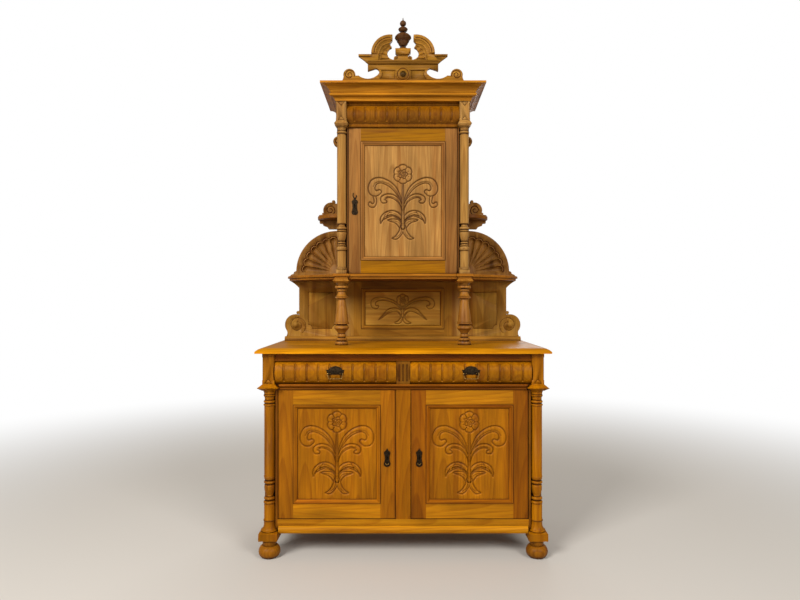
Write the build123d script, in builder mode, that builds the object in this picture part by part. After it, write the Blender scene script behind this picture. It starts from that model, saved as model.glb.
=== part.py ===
from build123d import *
import os
from math import acos, cos, degrees, radians, sin, sqrt

# A softwood buffet cabinet with a columned top section, in millimetres.
# +Z is up and the front looks along -Y. The origin is on the floor under the middle.

# ---------------------------------------------------------------- driving dimensions

# Clearances
pin_clearance = 0.05            # radial, a pin in its bore
slide_clearance = 0.3           # a sliding or loose piece over its seat
door_gap = 2.0                  # round a door
drawer_gap = 1.0                # round a drawer front
trim_clearance = 0.2            # between mouldings that end against each other

# Base: heights from the floor up
foot_height = 75.0
plinth_block_height = 33.0
leg_shaft_height = 577.0
leg_shaft_radius = 21.5
leg_cap_height = 26.0
leg_block_height = 127.0
top_thickness = 22.0

# Base: plan
top_width = 1200.0
top_depth = 520.0
top_mould_width = 32.0
top_lip_height = 7.0
post_size = 50.0
post_side_inset = 25.0          # top board's end to the post's outer face
post_front_inset = 30.0         # top board's front to the post's front face
post_cap_overhang = 18.0
plinth_block_size = 77.0
front_setback = 20.0            # post's front face to the doors' front face
frame_thickness = 20.0
stile_strip = 9.0               # corner stile beside the post
side_thickness = 20.0
back_inset = 15.0
back_thickness = 20.0

# Base: levels of the front
bottom_rail_height = 46.0       # plinth to the top of the bottom rail
plinth_mould_height = 29.0
plinth_mould_drop = 8.0
plinth_mould_depth = 15.0
waist_height = 23.0
waist_depth = 20.0
frieze_rail_height = 34.0
frieze_rail_depth = 10.0
bearer_thickness = 18.0
floor_thickness = 18.0
floor_stop = 6.0                # floor board above the sill, as the doors' stop
base_shelf_lift = 241.0         # sill to the underside of the inner shelf
shelf_thickness = 18.0
cleat_width = 20.0
centre_stile_width = 60.0
divider_width = 56.0
divider_depth = 14.0
guide_height = 20.0

# Drawers
drawer_bulge = 22.0
drawer_edge_depth = 18.0
drawer_front_proud = 3.0        # edge of the drawer front before the doors' front
drawer_side = 10.0
drawer_box_room = 35.0          # behind the drawer box
drawer_box_height = 78.0
drawer_bottom = 6.0
flute_count = 10
flute_pitch = 47.0
flute_radius = 6.0
flute_depth = 3.5
flute_margin = 14.0             # from the top and bottom of the front

# Doors
stile_width = 62.0
rail_width = 62.0
mould_width = 17.0
mould_proud = 3.0
panel_thickness = 8.0
panel_setback = 8.0             # door's front face to the panel's
groove_depth = 6.0
pivot_inset = 7.0               # pivot axis from the door's edge and from its front
pivot_radius = 2.5
pivot_length = 16.0
pivot_seat = 9.0                # length of a pivot held in the cabinet
door_corner_radius = 3.0

# Locks
lower_lock_inset = 34.0         # keyhole axis from the door's edge
upper_lock_inset = 26.0
lock_width = 46.0
lock_height = 70.0
lock_depth = 14.0
lock_wall = 3.0
bolt_height = 16.0
bolt_thickness = 6.0
bolt_travel = 7.5
bolt_setback = 8.5              # door's front face to the bolt's front
bolt_clearance = 0.5            # round the thrown bolt in its mortise
bolt_length = 38.0
keyhole_radius = 3.5
lower_lock_lift = 260.0         # sill to the lower keyholes
upper_lock_lift = 302.0         # middle shelf to the upper keyhole

# Fittings
plate_thickness = 2.5
escutcheon_width = 25.0
escutcheon_height = 76.0
pull_width = 74.0
pull_height = 34.0
pull_lift = 11.0                # pull plate's middle above the drawer's middle
lug_spacing = 50.0
lug_width = 5.0
lug_radius = 4.5
bail_radius = 2.0
bail_drop = 22.0

# Open niche and middle shelf
shelf_gap_height = 287.0        # top board to the underside of the middle shelf
mid_shelf_thickness = 21.0
mid_shelf_lip = 11.0
mid_shelf_cove = 8.0
back_board_thickness = 25.0
back_board_inset = 20.0         # back boards' rear face from the top board's back edge
niche_half = 236.0
niche_panel_half = 199.0
niche_bottom_rail = 56.0
niche_top_rail = 35.0
niche_mould = 19.0
base_mould_height = 21.0
base_mould_depth = 15.0
base_mould_inset = 34.0         # from the top board's end
column_x = 267.0
column_y = -63.0
baluster_cap = 72.0
baluster_cap_height = 17.0

# Lower back wings
wing_inset = 101.0              # these three from the top board's end
scroll_inset = 83.0
shelf_tip_inset = 49.0
scroll_radius = 50.0
scroll_lift = 76.5
bracket_height = 34.0

# Top section: cabinet
upper_height = 746.0            # middle shelf to the underside of the cornice
upper_door_height = 634.0
upper_stile = 52.0
upper_rail = 58.0
upper_strip = 6.5
upper_block = 45.0
upper_block_height = 84.0
upper_cap_overhang = 7.5
upper_cap_height = 23.0
upper_base_height = 19.0
upper_front = -60.0             # front face of the upper door
upper_side_thickness = 18.0
upper_back_thickness = 12.0
upper_shelf_lift = 322.0        # middle shelf to the underside of the inner shelf
upper_shelf_thickness = 16.0
bead_height = 11.0
bead_proud = 6.0
frieze_height = 76.0
frieze_bulge = 16.0

# Shell wings
shell_x = 315.0
shell_lift = 22.0               # shell's centre over the middle shelf
shell_radius = 198.0
shell_hollow = 150.0
shell_hub = 42.0
shell_flutes = 8
shell_first_angle = 5.0
shell_pitch_angle = 13.0
spine_inner = 250.0
spine_outer = 312.0
side_shelf_lift = 269.0         # over the middle shelf
side_shelf_thickness = 18.0
side_shelf_tip = 407.0
side_shelf_depth = 100.0
crest_scroll_x = 345.0
crest_scroll_lift = 50.0        # over the side shelf
crest_scroll_radius = 38.0
ear_x = 310.0
ear_drop = 95.0                 # below the cornice
ear_radius = 25.0

# Cornice and crest
cornice_height = 67.0
cornice_overhang = 61.5
cornice_lip = 9.0
cornice_top_board = 18.0
crest_front = -105.0
crest_thickness = 18.0
crest_volute_x = 230.0
crest_volute_height = 39.0      # above the cornice
crest_volute_radius = 26.0
crest_half = 280.0
crest_block_half = 151.0
crest_block_bottom = 57.0
crest_block_top = 84.0
crest_arch_x = 56.0             # centre of each half of the broken arch
crest_arch_height = 126.0
crest_arch_radius = 80.0
crest_arch_band = 34.0
crest_break_half = 45.0
crest_flutes = 4                # of each half shell
crest_first_angle = -8.0
crest_pitch_angle = 22.0
crest_hub_x = 36.0
crest_hub_height = 109.0
crest_flute_start = 24.0        # from the hub
crest_flute_reach = 28.0
crest_flute_narrow = 6.0
crest_flute_wide = 10.5
crest_flute_lift = 4.0          # of the flutes' axes before the board
crest_band_height = 13.0
crest_mould_height = 38.0
crest_mould_half = 190.0
crest_mould_depth = 14.0
pedestal_half = 33.0
pedestal_neck = 22.0
pedestal_top = 148.0
pedestal_cap = 24.0
pedestal_depth = 44.0
pedestal_volute_x = 30.0
pedestal_volute_height = 110.0
pedestal_volute_radius = 9.5
lobe_radius = 28.0
lobe_height = 41.0
boss_radius = 12.0

# ---------------------------------------------------------------- derived levels and planes

plinth_top = foot_height + plinth_block_height
sill_height = plinth_top + bottom_rail_height
base_shelf_height = sill_height + base_shelf_lift
lower_lock_height = sill_height + lower_lock_lift
leg_cap_bottom = plinth_top + leg_shaft_height
leg_block_bottom = leg_cap_bottom + leg_cap_height
carcass_top = leg_block_bottom + leg_block_height
top_surface = carcass_top + top_thickness

post_x = top_width / 2 - post_side_inset - post_size / 2
post_front = -top_depth / 2 + post_front_inset
post_y = post_front + post_size / 2
post_inner = post_x - post_size / 2
post_outer = post_x + post_size / 2
post_back = post_front + post_size
frame_front = post_front + front_setback
frame_back = frame_front + frame_thickness
stile_inner = post_inner - stile_strip
side_inner = post_outer - side_thickness
corner_back = post_back + frame_thickness
carcass_back = top_depth / 2 - back_inset
back_front = carcass_back - back_thickness
plinth_block_inner = post_x - plinth_block_size / 2

waist_bottom = leg_block_bottom - waist_height
drawer_opening_top = carcass_top - frieze_rail_height
drawer_half_height = (drawer_opening_top - leg_block_bottom) / 2
drawer_middle = leg_block_bottom + drawer_half_height
drawer_edge_front = frame_front - drawer_front_proud
drawer_back_face = drawer_edge_front + drawer_edge_depth
rail_back = drawer_back_face + 0.5

mid_shelf_bottom = top_surface + shelf_gap_height
mid_shelf_top = mid_shelf_bottom + mid_shelf_thickness
back_board_rear = top_depth / 2 - back_board_inset
back_board_front = back_board_rear - back_board_thickness
base_mould_front = back_board_front - base_mould_depth
base_mould_half = top_width / 2 - base_mould_inset
niche_opening_bottom = top_surface + niche_bottom_rail
niche_opening_top = mid_shelf_bottom - niche_top_rail
wing_half = top_width / 2 - wing_inset
scroll_x = top_width / 2 - scroll_inset
scroll_height = top_surface + scroll_lift
shelf_tip = top_width / 2 - shelf_tip_inset

upper_block_front = column_y - upper_block / 2
upper_block_back = column_y + upper_block / 2
upper_inner = column_x - upper_block / 2
upper_outer = column_x + upper_block / 2
upper_stile_inner = upper_inner - upper_strip
upper_side_inner = upper_outer - upper_side_thickness
upper_frame_back = upper_front + frame_thickness
upper_corner_back = upper_block_back + upper_side_thickness
cornice_bottom = mid_shelf_top + upper_height
upper_shelf_height = mid_shelf_top + upper_shelf_lift
upper_lock_height = mid_shelf_top + upper_lock_lift
shell_height = mid_shelf_top + shell_lift
side_shelf_height = mid_shelf_top + side_shelf_lift
crest_scroll_height = side_shelf_height + crest_scroll_lift
ear_height = cornice_bottom - ear_drop
cornice_top = cornice_bottom + cornice_height
upper_block_bottom = cornice_bottom - upper_block_height
upper_cap_bottom = upper_block_bottom - upper_cap_height
upper_back_front = back_board_front - upper_back_thickness
upper_door_bottom = mid_shelf_top + door_gap
upper_door_top = upper_door_bottom + upper_door_height
bead_bottom = upper_door_top + door_gap
frieze_bottom = bead_bottom + bead_height + 7
frieze_top = frieze_bottom + frieze_height

os.makedirs("parts", exist_ok=True)


# ---------------------------------------------------------------- helpers


def save(piece, name):
    """Label a finished piece and write it as its own file."""
    piece.label = name
    export_step(piece, f"parts/{name}.step")


def save_pair(right_piece, name):
    """Write the right-hand piece and its mirror image, the left-hand one."""
    left_piece = mirror(right_piece, about=Plane.YZ)
    save(right_piece, f"{name}_right")
    save(left_piece, f"{name}_left")


def turn(elements, x, y, bottom):
    """Revolve a turned piece about the upright axis at x, y.

    Each element is its rise, its radius at the bottom and at the top, and its swell: how far the
    middle of its side stands out from the straight line, or in from it where it is negative.
    """
    with BuildSketch(Plane(origin=(x, y, bottom), x_dir=(1, 0, 0), z_dir=(0, -1, 0))) as section:
        with BuildLine():
            height = 0.0
            radius = 0.0
            for rise, start, end, swell in elements:
                if abs(start - radius) > 0.001:
                    Line((radius, height), (start, height))
                if swell == 0:
                    Line((start, height), (end, height + rise))
                else:
                    middle = ((start + end) / 2 + swell, height + rise / 2)
                    ThreePointArc((start, height), middle, (end, height + rise))
                height += rise
                radius = end
            Line((radius, height), (0, height))
            Line((0, height), (0, 0))
        make_face()
    revolve(section.sketch, axis=Axis((x, y, bottom), (0, 0, 1)))


def total_rise(elements):
    """Height of a list of turned elements."""
    return sum(element[0] for element in elements)


def slab(x_low, x_high, y_low, y_high, z_low, z_high, mode=Mode.ADD):
    """A board given by its faces."""
    with Locations(((x_low + x_high) / 2, (y_low + y_high) / 2, (z_low + z_high) / 2)):
        Box(x_high - x_low, y_high - y_low, z_high - z_low, mode=mode)


def pointed_cap(x, y, bottom, height, size, overhang):
    """A square cap whose sides come to a ridge all round."""
    ridge = bottom + height * 0.45
    for low, high, low_size, high_size in (
        (bottom, ridge, size, size + 2 * overhang),
        (ridge, bottom + height, size + 2 * overhang, size),
    ):
        with BuildSketch(Plane((x, y, low))) as low_square:
            Rectangle(low_size, low_size)
        with BuildSketch(Plane((x, y, high))) as high_square:
            Rectangle(high_size, high_size)
        loft(sections=[low_square.sketch, high_square.sketch])


def panel_moulding(x_low, x_high, z_low, z_high, front, width, proud, sunk):
    """Mitred moulding that slopes from the frame's face down to the panel."""
    width_all = x_high - x_low
    height_all = z_high - z_low
    middle_x = (x_low + x_high) / 2
    middle_z = (z_low + z_high) / 2
    face_plane = Plane(origin=(middle_x, front - proud, middle_z), x_dir=(1, 0, 0), z_dir=(0, -1, 0))
    with BuildSketch(face_plane) as ring:
        Rectangle(width_all, height_all)
        Rectangle(width_all - 2 * width, height_all - 2 * width, mode=Mode.SUBTRACT)
    extrude(ring.sketch, amount=-(sunk + proud))
    with BuildSketch(face_plane) as wide:
        Rectangle(width_all - width * 0.8, height_all - width * 0.8)
    with BuildSketch(face_plane.offset(1.5 - sunk - proud)) as narrow:
        Rectangle(width_all - 2 * width, height_all - 2 * width)
    loft(sections=[wide.sketch, narrow.sketch], mode=Mode.SUBTRACT)


# ---------------------------------------------------------------- base top board


def top_board_section(half, moulded_low, moulded_high):
    """Section across the top board, with a thumbnail edge on the chosen ends."""
    flat = half - top_mould_width
    low_end = -flat if moulded_low else -half
    high_end = flat if moulded_high else half
    with BuildLine() as outline:
        Line((-half, carcass_top), (half, carcass_top))
        if moulded_high:
            Line((half, carcass_top), (half, carcass_top + top_lip_height))
            TangentArc((flat, top_surface), (half, carcass_top + top_lip_height), tangent=(1, 0))
        else:
            Line((half, carcass_top), (half, top_surface))
        Line((high_end, top_surface), (low_end, top_surface))
        if moulded_low:
            TangentArc((-flat, top_surface), (-half, carcass_top + top_lip_height), tangent=(-1, 0))
            Line((-half, carcass_top + top_lip_height), (-half, carcass_top))
        else:
            Line((-half, top_surface), (-half, carcass_top))
    make_face(outline.edges())


with BuildPart() as base_top_board:
    with BuildSketch(Plane.XZ):
        top_board_section(top_width / 2, True, True)
    extrude(amount=top_depth / 2, both=True)
    with BuildSketch(Plane.YZ):
        top_board_section(top_depth / 2, True, False)
    extrude(amount=top_width / 2, both=True, mode=Mode.INTERSECT)
save(base_top_board.part, "base_top_board")

# ---------------------------------------------------------------- feet

foot_tenon_radius = 12.0
foot_tenon_length = 24.0
bun_height = 49.0
bun_collar_height = 5.0
bun_elements = [
    (bun_height, 31.0, 31.0, 13.5),
    (bun_collar_height, 26.0, 26.0, 0),
    (foot_height - bun_height - bun_collar_height, 27.0, 27.0, 1.5),
    (foot_tenon_length, foot_tenon_radius - pin_clearance, foot_tenon_radius - pin_clearance, 0),
]
with BuildPart() as bun_feet:
    for side in (1, -1):
        turn(bun_elements, side * post_x, post_y, 0)
save(bun_feet.part, "bun_feet")

rear_foot_size = 60.0
rear_foot_taper = 3.0
with BuildPart() as rear_feet:
    rear_foot_y = carcass_back - rear_foot_size / 2
    with BuildSketch(Plane.XY.offset(plinth_top)):
        with Locations(
            (post_outer - rear_foot_size / 2, rear_foot_y), (rear_foot_size / 2 - post_outer, rear_foot_y),
        ):
            Rectangle(rear_foot_size, rear_foot_size)
    extrude(amount=-plinth_top, taper=rear_foot_taper)
save(rear_feet.part, "rear_feet")

# ---------------------------------------------------------------- front corner posts

leg_lower_elements = [
    (6.0, 33.0, 33.0, 2.0),
    (34.0, 30.0, 23.0, -3.0),
    (7.0, 23.0, 23.0, 2.0),
    (64.0, 22.0, 22.0, 0),
    (13.0, 20.0, 20.0, 4.0),
    (4.0, 16.0, 16.0, 0),
    (12.0, 19.0, 19.0, 3.5),
    (4.0, 15.0, 15.0, 0),
    (45.0, 14.0, 20.5, 3.0),
    (5.0, 17.0, 17.0, 0),
    (11.0, 20.0, 20.0, 3.0),
    (5.0, 17.0, 17.0, 0),
    (15.0, 20.5, 23.0, 0),
]
leg_upper_elements = [
    (8.0, 22.0, 22.0, 2.5),
    (4.0, 19.5, 19.5, 0),
    (10.0, 21.0, 21.0, 3.0),
    (4.0, 19.5, 19.5, 0),
    (14.0, 20.0, 23.0, -1.5),
    (5.0, 24.0, 24.0, 0),
    (3.0, 21.5, 21.5, 0),
    (11.0, 22.5, 24.5, -1.0),
    (5.0, 25.0, 25.0, 0),
]
leg_shaft_rise = leg_shaft_height - total_rise(leg_lower_elements) - total_rise(leg_upper_elements)
leg_shaft = (leg_shaft_rise, leg_shaft_radius, leg_shaft_radius, 0)
leg_elements = leg_lower_elements + [leg_shaft] + leg_upper_elements
block_chamfer = 7.0
block_chamfer_stop = 17.0


def stopped_chamfer(x, front, half, z_low, z_high, size, stop):
    """Chamfer the two front edges of a square block between its stops."""
    for edge_side in (1, -1):
        edge = x + edge_side * half
        with BuildSketch(Plane.XY.offset(z_low + stop)) as corner:
            with BuildLine():
                Polyline((edge, front), (edge - edge_side * size, front), (edge, front + size), close=True)
            make_face()
        extrude(corner.sketch, amount=z_high - z_low - 2 * stop, mode=Mode.SUBTRACT)


with BuildPart() as front_post:
    slab(
        post_x - plinth_block_size / 2, post_x + plinth_block_size / 2,
        post_y - plinth_block_size / 2, post_y + plinth_block_size / 2, foot_height, plinth_top,
    )
    chamfer(front_post.edges().group_by(Axis.Z)[-1], length=4)
    turn(leg_elements, post_x, post_y, plinth_top)
    pointed_cap(post_x, post_y, leg_cap_bottom, leg_cap_height, post_size, post_cap_overhang)
    slab(post_inner, post_outer, post_front, post_back, leg_block_bottom, carcass_top)
    stopped_chamfer(
        post_x, post_front, post_size / 2, leg_block_bottom, carcass_top, block_chamfer,
        block_chamfer_stop,
    )
    # The carcass corner that the cap is cut round
    slab(0, post_inner, frame_front, corner_back, plinth_top, leg_block_bottom, Mode.SUBTRACT)
    slab(0, top_width / 2, post_back, corner_back, plinth_top, leg_block_bottom, Mode.SUBTRACT)
    with Locations((post_x, post_y, foot_height)):
        Cylinder(foot_tenon_radius, foot_tenon_length, align=(Align.CENTER, Align.CENTER, Align.MIN),
                 mode=Mode.SUBTRACT)
save_pair(front_post.part, "front_post")

# ---------------------------------------------------------------- base sides, each with its corner stile

side_field_depth = 6.0
side_field_margin = 60.0
with BuildPart() as base_side:
    with BuildSketch(Plane.XY.offset(plinth_top)):
        with BuildLine():
            Polyline(
                (stile_inner, frame_front), (post_inner, frame_front), (post_inner, post_back),
                (post_outer, post_back), (post_outer, carcass_back), (side_inner, carcass_back),
                (side_inner, corner_back), (stile_inner, corner_back), close=True,
            )
        make_face()
    extrude(amount=carcass_top - plinth_top)
    # Behind the drawer fronts the corner stile stands back
    slab(stile_inner, post_inner, frame_front, rail_back, leg_block_bottom, carcass_top, Mode.SUBTRACT)
    # Two sunk fields on the outer face
    field_front = post_back + side_field_margin
    field_back = carcass_back - side_field_margin
    for field_low, field_high in (
        (plinth_top + side_field_margin, waist_bottom - side_field_margin / 2),
        (leg_block_bottom + 22, carcass_top - 30),
    ):
        slab(
            post_outer - side_field_depth, post_outer, field_front, field_back, field_low, field_high,
            Mode.SUBTRACT,
        )
    # Cleat for the inner shelf
    slab(
        side_inner - cleat_width, side_inner, corner_back, back_front,
        base_shelf_height - cleat_width, base_shelf_height,
    )
save_pair(base_side.part, "base_side")

# ---------------------------------------------------------------- base back, floor, shelf and drawer bearer

with BuildPart() as base_back:
    slab(-side_inner, side_inner, back_front, carcass_back, plinth_top, carcass_top)
    back_field_width = (2 * side_inner - 4 * side_field_margin) / 3
    for column in (-1, 0, 1):
        field_x = column * (back_field_width + side_field_margin)
        slab(
            field_x - back_field_width / 2, field_x + back_field_width / 2,
            carcass_back - side_field_depth, carcass_back,
            plinth_top + side_field_margin, carcass_top - side_field_margin, Mode.SUBTRACT,
        )
save(base_back.part, "base_back")

# The door's back edge swings past its closed place, and the floor board leaves it room
door_sweep = sqrt(pivot_inset ** 2 + (frame_thickness - pivot_inset) ** 2)
stop_clearance = door_sweep - (frame_thickness - pivot_inset) + slide_clearance
floor_top = sill_height + floor_stop
with BuildPart() as base_floor:
    slab(
        -stile_inner, stile_inner, frame_back + stop_clearance, corner_back, floor_top - floor_thickness,
        floor_top,
    )
    slab(-side_inner, side_inner, corner_back, back_front, floor_top - floor_thickness, floor_top)
save(base_floor.part, "base_floor")

with BuildPart() as base_shelf:
    slab(
        slide_clearance - side_inner, side_inner - slide_clearance, corner_back + 10,
        back_front - slide_clearance,
        base_shelf_height, base_shelf_height + shelf_thickness,
    )
    fillet(base_shelf.edges().filter_by(Axis.X).group_by(Axis.Y)[0], radius=4)
save(base_shelf.part, "base_shelf")

divider_front = frame_front - divider_depth
divider_flute_radius = 4.0
with BuildPart() as drawer_bearer:
    bearer_bottom = leg_block_bottom - bearer_thickness
    slab(-stile_inner, stile_inner, frame_back, corner_back, bearer_bottom, leg_block_bottom)
    slab(-side_inner, side_inner, corner_back, back_front, bearer_bottom, leg_block_bottom)
    # Guides beside the drawer boxes
    guide_top = leg_block_bottom + guide_height
    slab(stile_inner, side_inner, corner_back, back_front, leg_block_bottom, guide_top)
    slab(-side_inner, -stile_inner, corner_back, back_front, leg_block_bottom, guide_top)
    slab(-divider_width / 2, divider_width / 2, rail_back, back_front, leg_block_bottom, guide_top)
    # Divider between the drawer fronts, with three short flutes
    slab(
        -divider_width / 2, divider_width / 2, divider_front, rail_back,
        leg_block_bottom, drawer_opening_top,
    )
    with BuildSketch(Plane.XZ.offset(-divider_front)):
        with GridLocations(divider_width / 3.6, 1, 3, 1):
            with Locations((0, drawer_middle)):
                SlotCenterToCenter(2 * drawer_half_height - 30, 2 * divider_flute_radius, rotation=90)
    extrude(amount=-divider_flute_radius, mode=Mode.SUBTRACT)
save(drawer_bearer.part, "drawer_bearer")

# ---------------------------------------------------------------- front rails and centre stile

pocket_depth = bolt_travel + 1.5
bolt_front = frame_front + bolt_setback
with BuildPart() as centre_stile:
    slab(-centre_stile_width / 2, centre_stile_width / 2, frame_front, frame_back, sill_height, waist_bottom)
    # Mortises for the two lock bolts
    for side in (1, -1):
        edge = side * centre_stile_width / 2
        slab(
            min(edge, edge - side * pocket_depth), max(edge, edge - side * pocket_depth),
            bolt_front - bolt_clearance, bolt_front + bolt_thickness + bolt_clearance,
            lower_lock_height - bolt_height / 2 - bolt_clearance,
            lower_lock_height + bolt_height / 2 + bolt_clearance, Mode.SUBTRACT,
        )
save(centre_stile.part, "centre_stile")

rail_front = frame_front - frieze_rail_depth
with BuildPart() as frieze_rail:
    slab(-post_inner, post_inner, rail_front, rail_back, drawer_opening_top, carcass_top)
    with BuildSketch(Plane.YZ):
        with BuildLine():
            bead_line = Line((rail_front, drawer_opening_top), (rail_front, drawer_opening_top + 9))
            ThreePointArc(bead_line @ 1, (rail_front - 3, drawer_opening_top + 4.5), bead_line @ 0)
        make_face()
    extrude(amount=post_inner, both=True)
save(frieze_rail.part, "frieze_rail")

door_outer = stile_inner - door_gap
pivot_x = door_outer - pivot_inset
pivot_y = frame_front + pivot_inset
waist_front = frame_front - waist_depth
waist_half = post_inner - post_cap_overhang - trim_clearance
with BuildPart() as waist_moulding:
    slab(-stile_inner, stile_inner, frame_front, frame_back, waist_bottom, leg_block_bottom)
    with BuildSketch(Plane.YZ):
        with BuildLine():
            Line((frame_front, leg_block_bottom), (waist_front + 4, leg_block_bottom))
            ThreePointArc(
                (waist_front + 4, leg_block_bottom), (waist_front, leg_block_bottom - 4.5),
                (waist_front + 4, leg_block_bottom - 9),
            )
            ThreePointArc(
                (waist_front + 4, leg_block_bottom - 9), (waist_front + 9, leg_block_bottom - 13.5),
                (waist_front + 15, leg_block_bottom - 17),
            )
            ThreePointArc(
                (waist_front + 15, leg_block_bottom - 17), (waist_front + 12.5, leg_block_bottom - 20),
                (waist_front + 15, waist_bottom),
            )
            Line((waist_front + 15, waist_bottom), (frame_front, waist_bottom))
            Line((frame_front, waist_bottom), (frame_front, leg_block_bottom))
        make_face()
    extrude(amount=waist_half, both=True)
    with Locations((pivot_x, pivot_y, waist_bottom), (-pivot_x, pivot_y, waist_bottom)):
        Cylinder(pivot_radius + pin_clearance, pivot_seat, align=(Align.CENTER, Align.CENTER, Align.MIN),
                 mode=Mode.SUBTRACT)
save(waist_moulding.part, "waist_moulding")

plinth_mould_bottom = plinth_top - plinth_mould_drop
plinth_mould_top = plinth_mould_bottom + plinth_mould_height
plinth_mould_front = frame_front - plinth_mould_depth
with BuildPart() as bottom_rail:
    slab(-stile_inner, stile_inner, frame_front, frame_back, plinth_top, sill_height)
    with BuildSketch(Plane.YZ):
        with BuildLine():
            Line((frame_front, plinth_mould_bottom), (plinth_mould_front + 3, plinth_mould_bottom))
            ThreePointArc(
                (plinth_mould_front + 3, plinth_mould_bottom),
                (plinth_mould_front, (plinth_mould_bottom + plinth_mould_top) / 2),
                (plinth_mould_front + 5, plinth_mould_top - 5),
            )
            Line((plinth_mould_front + 5, plinth_mould_top - 5), (frame_front - 4, plinth_mould_top))
            Line((frame_front - 4, plinth_mould_top), (frame_front, plinth_mould_top))
            Line((frame_front, plinth_mould_top), (frame_front, plinth_mould_bottom))
        make_face()
    extrude(amount=plinth_block_inner - trim_clearance, both=True)
    with Locations((pivot_x, pivot_y, sill_height), (-pivot_x, pivot_y, sill_height)):
        Cylinder(pivot_radius + pin_clearance, pivot_seat, align=(Align.CENTER, Align.CENTER, Align.MAX),
                 mode=Mode.SUBTRACT)
save(bottom_rail.part, "bottom_rail")

# ---------------------------------------------------------------- pivot pins

upper_pivot_x = upper_stile_inner - door_gap - pivot_inset
upper_pivot_y = upper_front + pivot_inset
pin_into_door = pivot_length - pivot_seat
pin_places = []
for side in (1, -1):
    pin_places.append((side * pivot_x, pivot_y, sill_height - pivot_seat))
    pin_places.append((side * pivot_x, pivot_y, waist_bottom - pin_into_door))
pin_places.append((upper_pivot_x, upper_pivot_y, mid_shelf_top - pivot_seat))
pin_places.append((upper_pivot_x, upper_pivot_y, bead_bottom - pin_into_door))
with BuildPart() as pivot_pins:
    with Locations(*pin_places):
        Cylinder(pivot_radius, pivot_length, align=(Align.CENTER, Align.CENTER, Align.MIN))
save(pivot_pins.part, "pivot_pins")


# ---------------------------------------------------------------- drawers

drawer_edge_low = leg_block_bottom + drawer_gap
drawer_edge_high = drawer_opening_top - drawer_gap
drawer_bulge_front = drawer_edge_front - drawer_bulge
drawer_inner = divider_width / 2 + drawer_gap
drawer_outer = post_inner - drawer_gap
drawer_x = (drawer_inner + drawer_outer) / 2
pull_height_middle = drawer_middle + pull_lift


def bulging_section(low, high, edge, bulge, back):
    """Section of a pulvinated front in the YZ plane, edges at edge and middle at bulge."""
    with BuildLine() as outline:
        ThreePointArc((edge, low), (bulge, (low + high) / 2), (edge, high))
        Polyline((edge, high), (back, high), (back, low), (edge, low))
    make_face(outline.edges())


def gouge(low, high, edge, bulge, margin):
    """One round-ended flute that follows a bulging front, as a solid to cut away."""
    lift = flute_radius - flute_depth
    with BuildPart() as cutter:
        with BuildLine(Plane.YZ) as face_line:
            face_arc = ThreePointArc((edge, low), (bulge, (low + high) / 2), (edge, high))
        share = margin / (high - low)
        start = face_arc @ share
        end = face_arc @ (1 - share)
        with BuildLine() as path_line:
            ThreePointArc(
                (0, start.Y - lift, start.Z), (0, bulge - lift, (low + high) / 2), (0, end.Y - lift, end.Z)
            )
        path = path_line.line
        with BuildSketch(Plane(origin=path @ 0, x_dir=(1, 0, 0), z_dir=path % 0)) as tool:
            Circle(flute_radius)
        sweep(tool.sketch, path=path)
        with Locations(path @ 0, path @ 1):
            Sphere(flute_radius)
    return cutter.part


def flutes(x_middle, count, pitch, cutter):
    """Cut a row of flutes, evenly spaced about x_middle."""
    for number in range(count):
        place = x_middle + (number - (count - 1) / 2) * pitch
        add(cutter.moved(Location((place, 0, 0))), mode=Mode.SUBTRACT)


drawer_flute = gouge(drawer_edge_low, drawer_edge_high, drawer_edge_front, drawer_bulge_front, flute_margin)
with BuildPart() as drawer_front:
    with BuildSketch(Plane.YZ.offset(drawer_inner)):
        bulging_section(
            drawer_edge_low, drawer_edge_high, drawer_edge_front, drawer_bulge_front, drawer_back_face,
        )
    extrude(amount=drawer_outer - drawer_inner)
    flutes(drawer_x, flute_count, flute_pitch, drawer_flute)
save_pair(drawer_front.part, "drawer_front")

drawer_box_low = leg_block_bottom + slide_clearance
drawer_box_high = drawer_box_low + drawer_box_height
box_inner = divider_width / 2 + drawer_gap
box_outer = stile_inner - drawer_gap
drawer_box_back = back_front - drawer_box_room
with BuildPart() as drawer_box:
    slab(box_inner, box_outer, drawer_back_face, drawer_box_back, drawer_box_low, drawer_box_high)
    slab(
        box_inner + drawer_side, box_outer - drawer_side, drawer_back_face, drawer_box_back - drawer_side,
        drawer_box_low, drawer_box_high, Mode.SUBTRACT,
    )
    slab(
        box_inner + drawer_side, box_outer - drawer_side, drawer_back_face, drawer_box_back - drawer_side,
        drawer_box_low + drawer_bottom, drawer_box_low + 2 * drawer_bottom,
    )
save_pair(drawer_box.part, "drawer_box")

# Fan-shaped pull plate that lies on the bulging front, with two lugs for the bail
plate_low = pull_height_middle - pull_height / 2
lug_reach = 8.0
bail_axis_z = plate_low + lug_radius + 1.0
front_rise = drawer_edge_high - drawer_edge_low
bulge_radius = (front_rise ** 2 / 4 + drawer_bulge ** 2) / (2 * drawer_bulge)
bulge_centre_y = drawer_bulge_front + bulge_radius
bail_axis_y = bulge_centre_y - (
    (bulge_radius + plate_thickness) ** 2 - (bail_axis_z - drawer_middle) ** 2
) ** 0.5 - lug_reach + lug_radius


def front_band(extra):
    """A tube round the drawer front's curve, extra thick outside it, as long as the pull."""
    with BuildSketch(Plane.YZ.offset(drawer_x - pull_width / 2)) as band:
        with Locations((bulge_centre_y, drawer_middle)):
            Circle(bulge_radius + extra)
            Circle(bulge_radius, mode=Mode.SUBTRACT)
    extrude(band.sketch, amount=pull_width)


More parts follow.
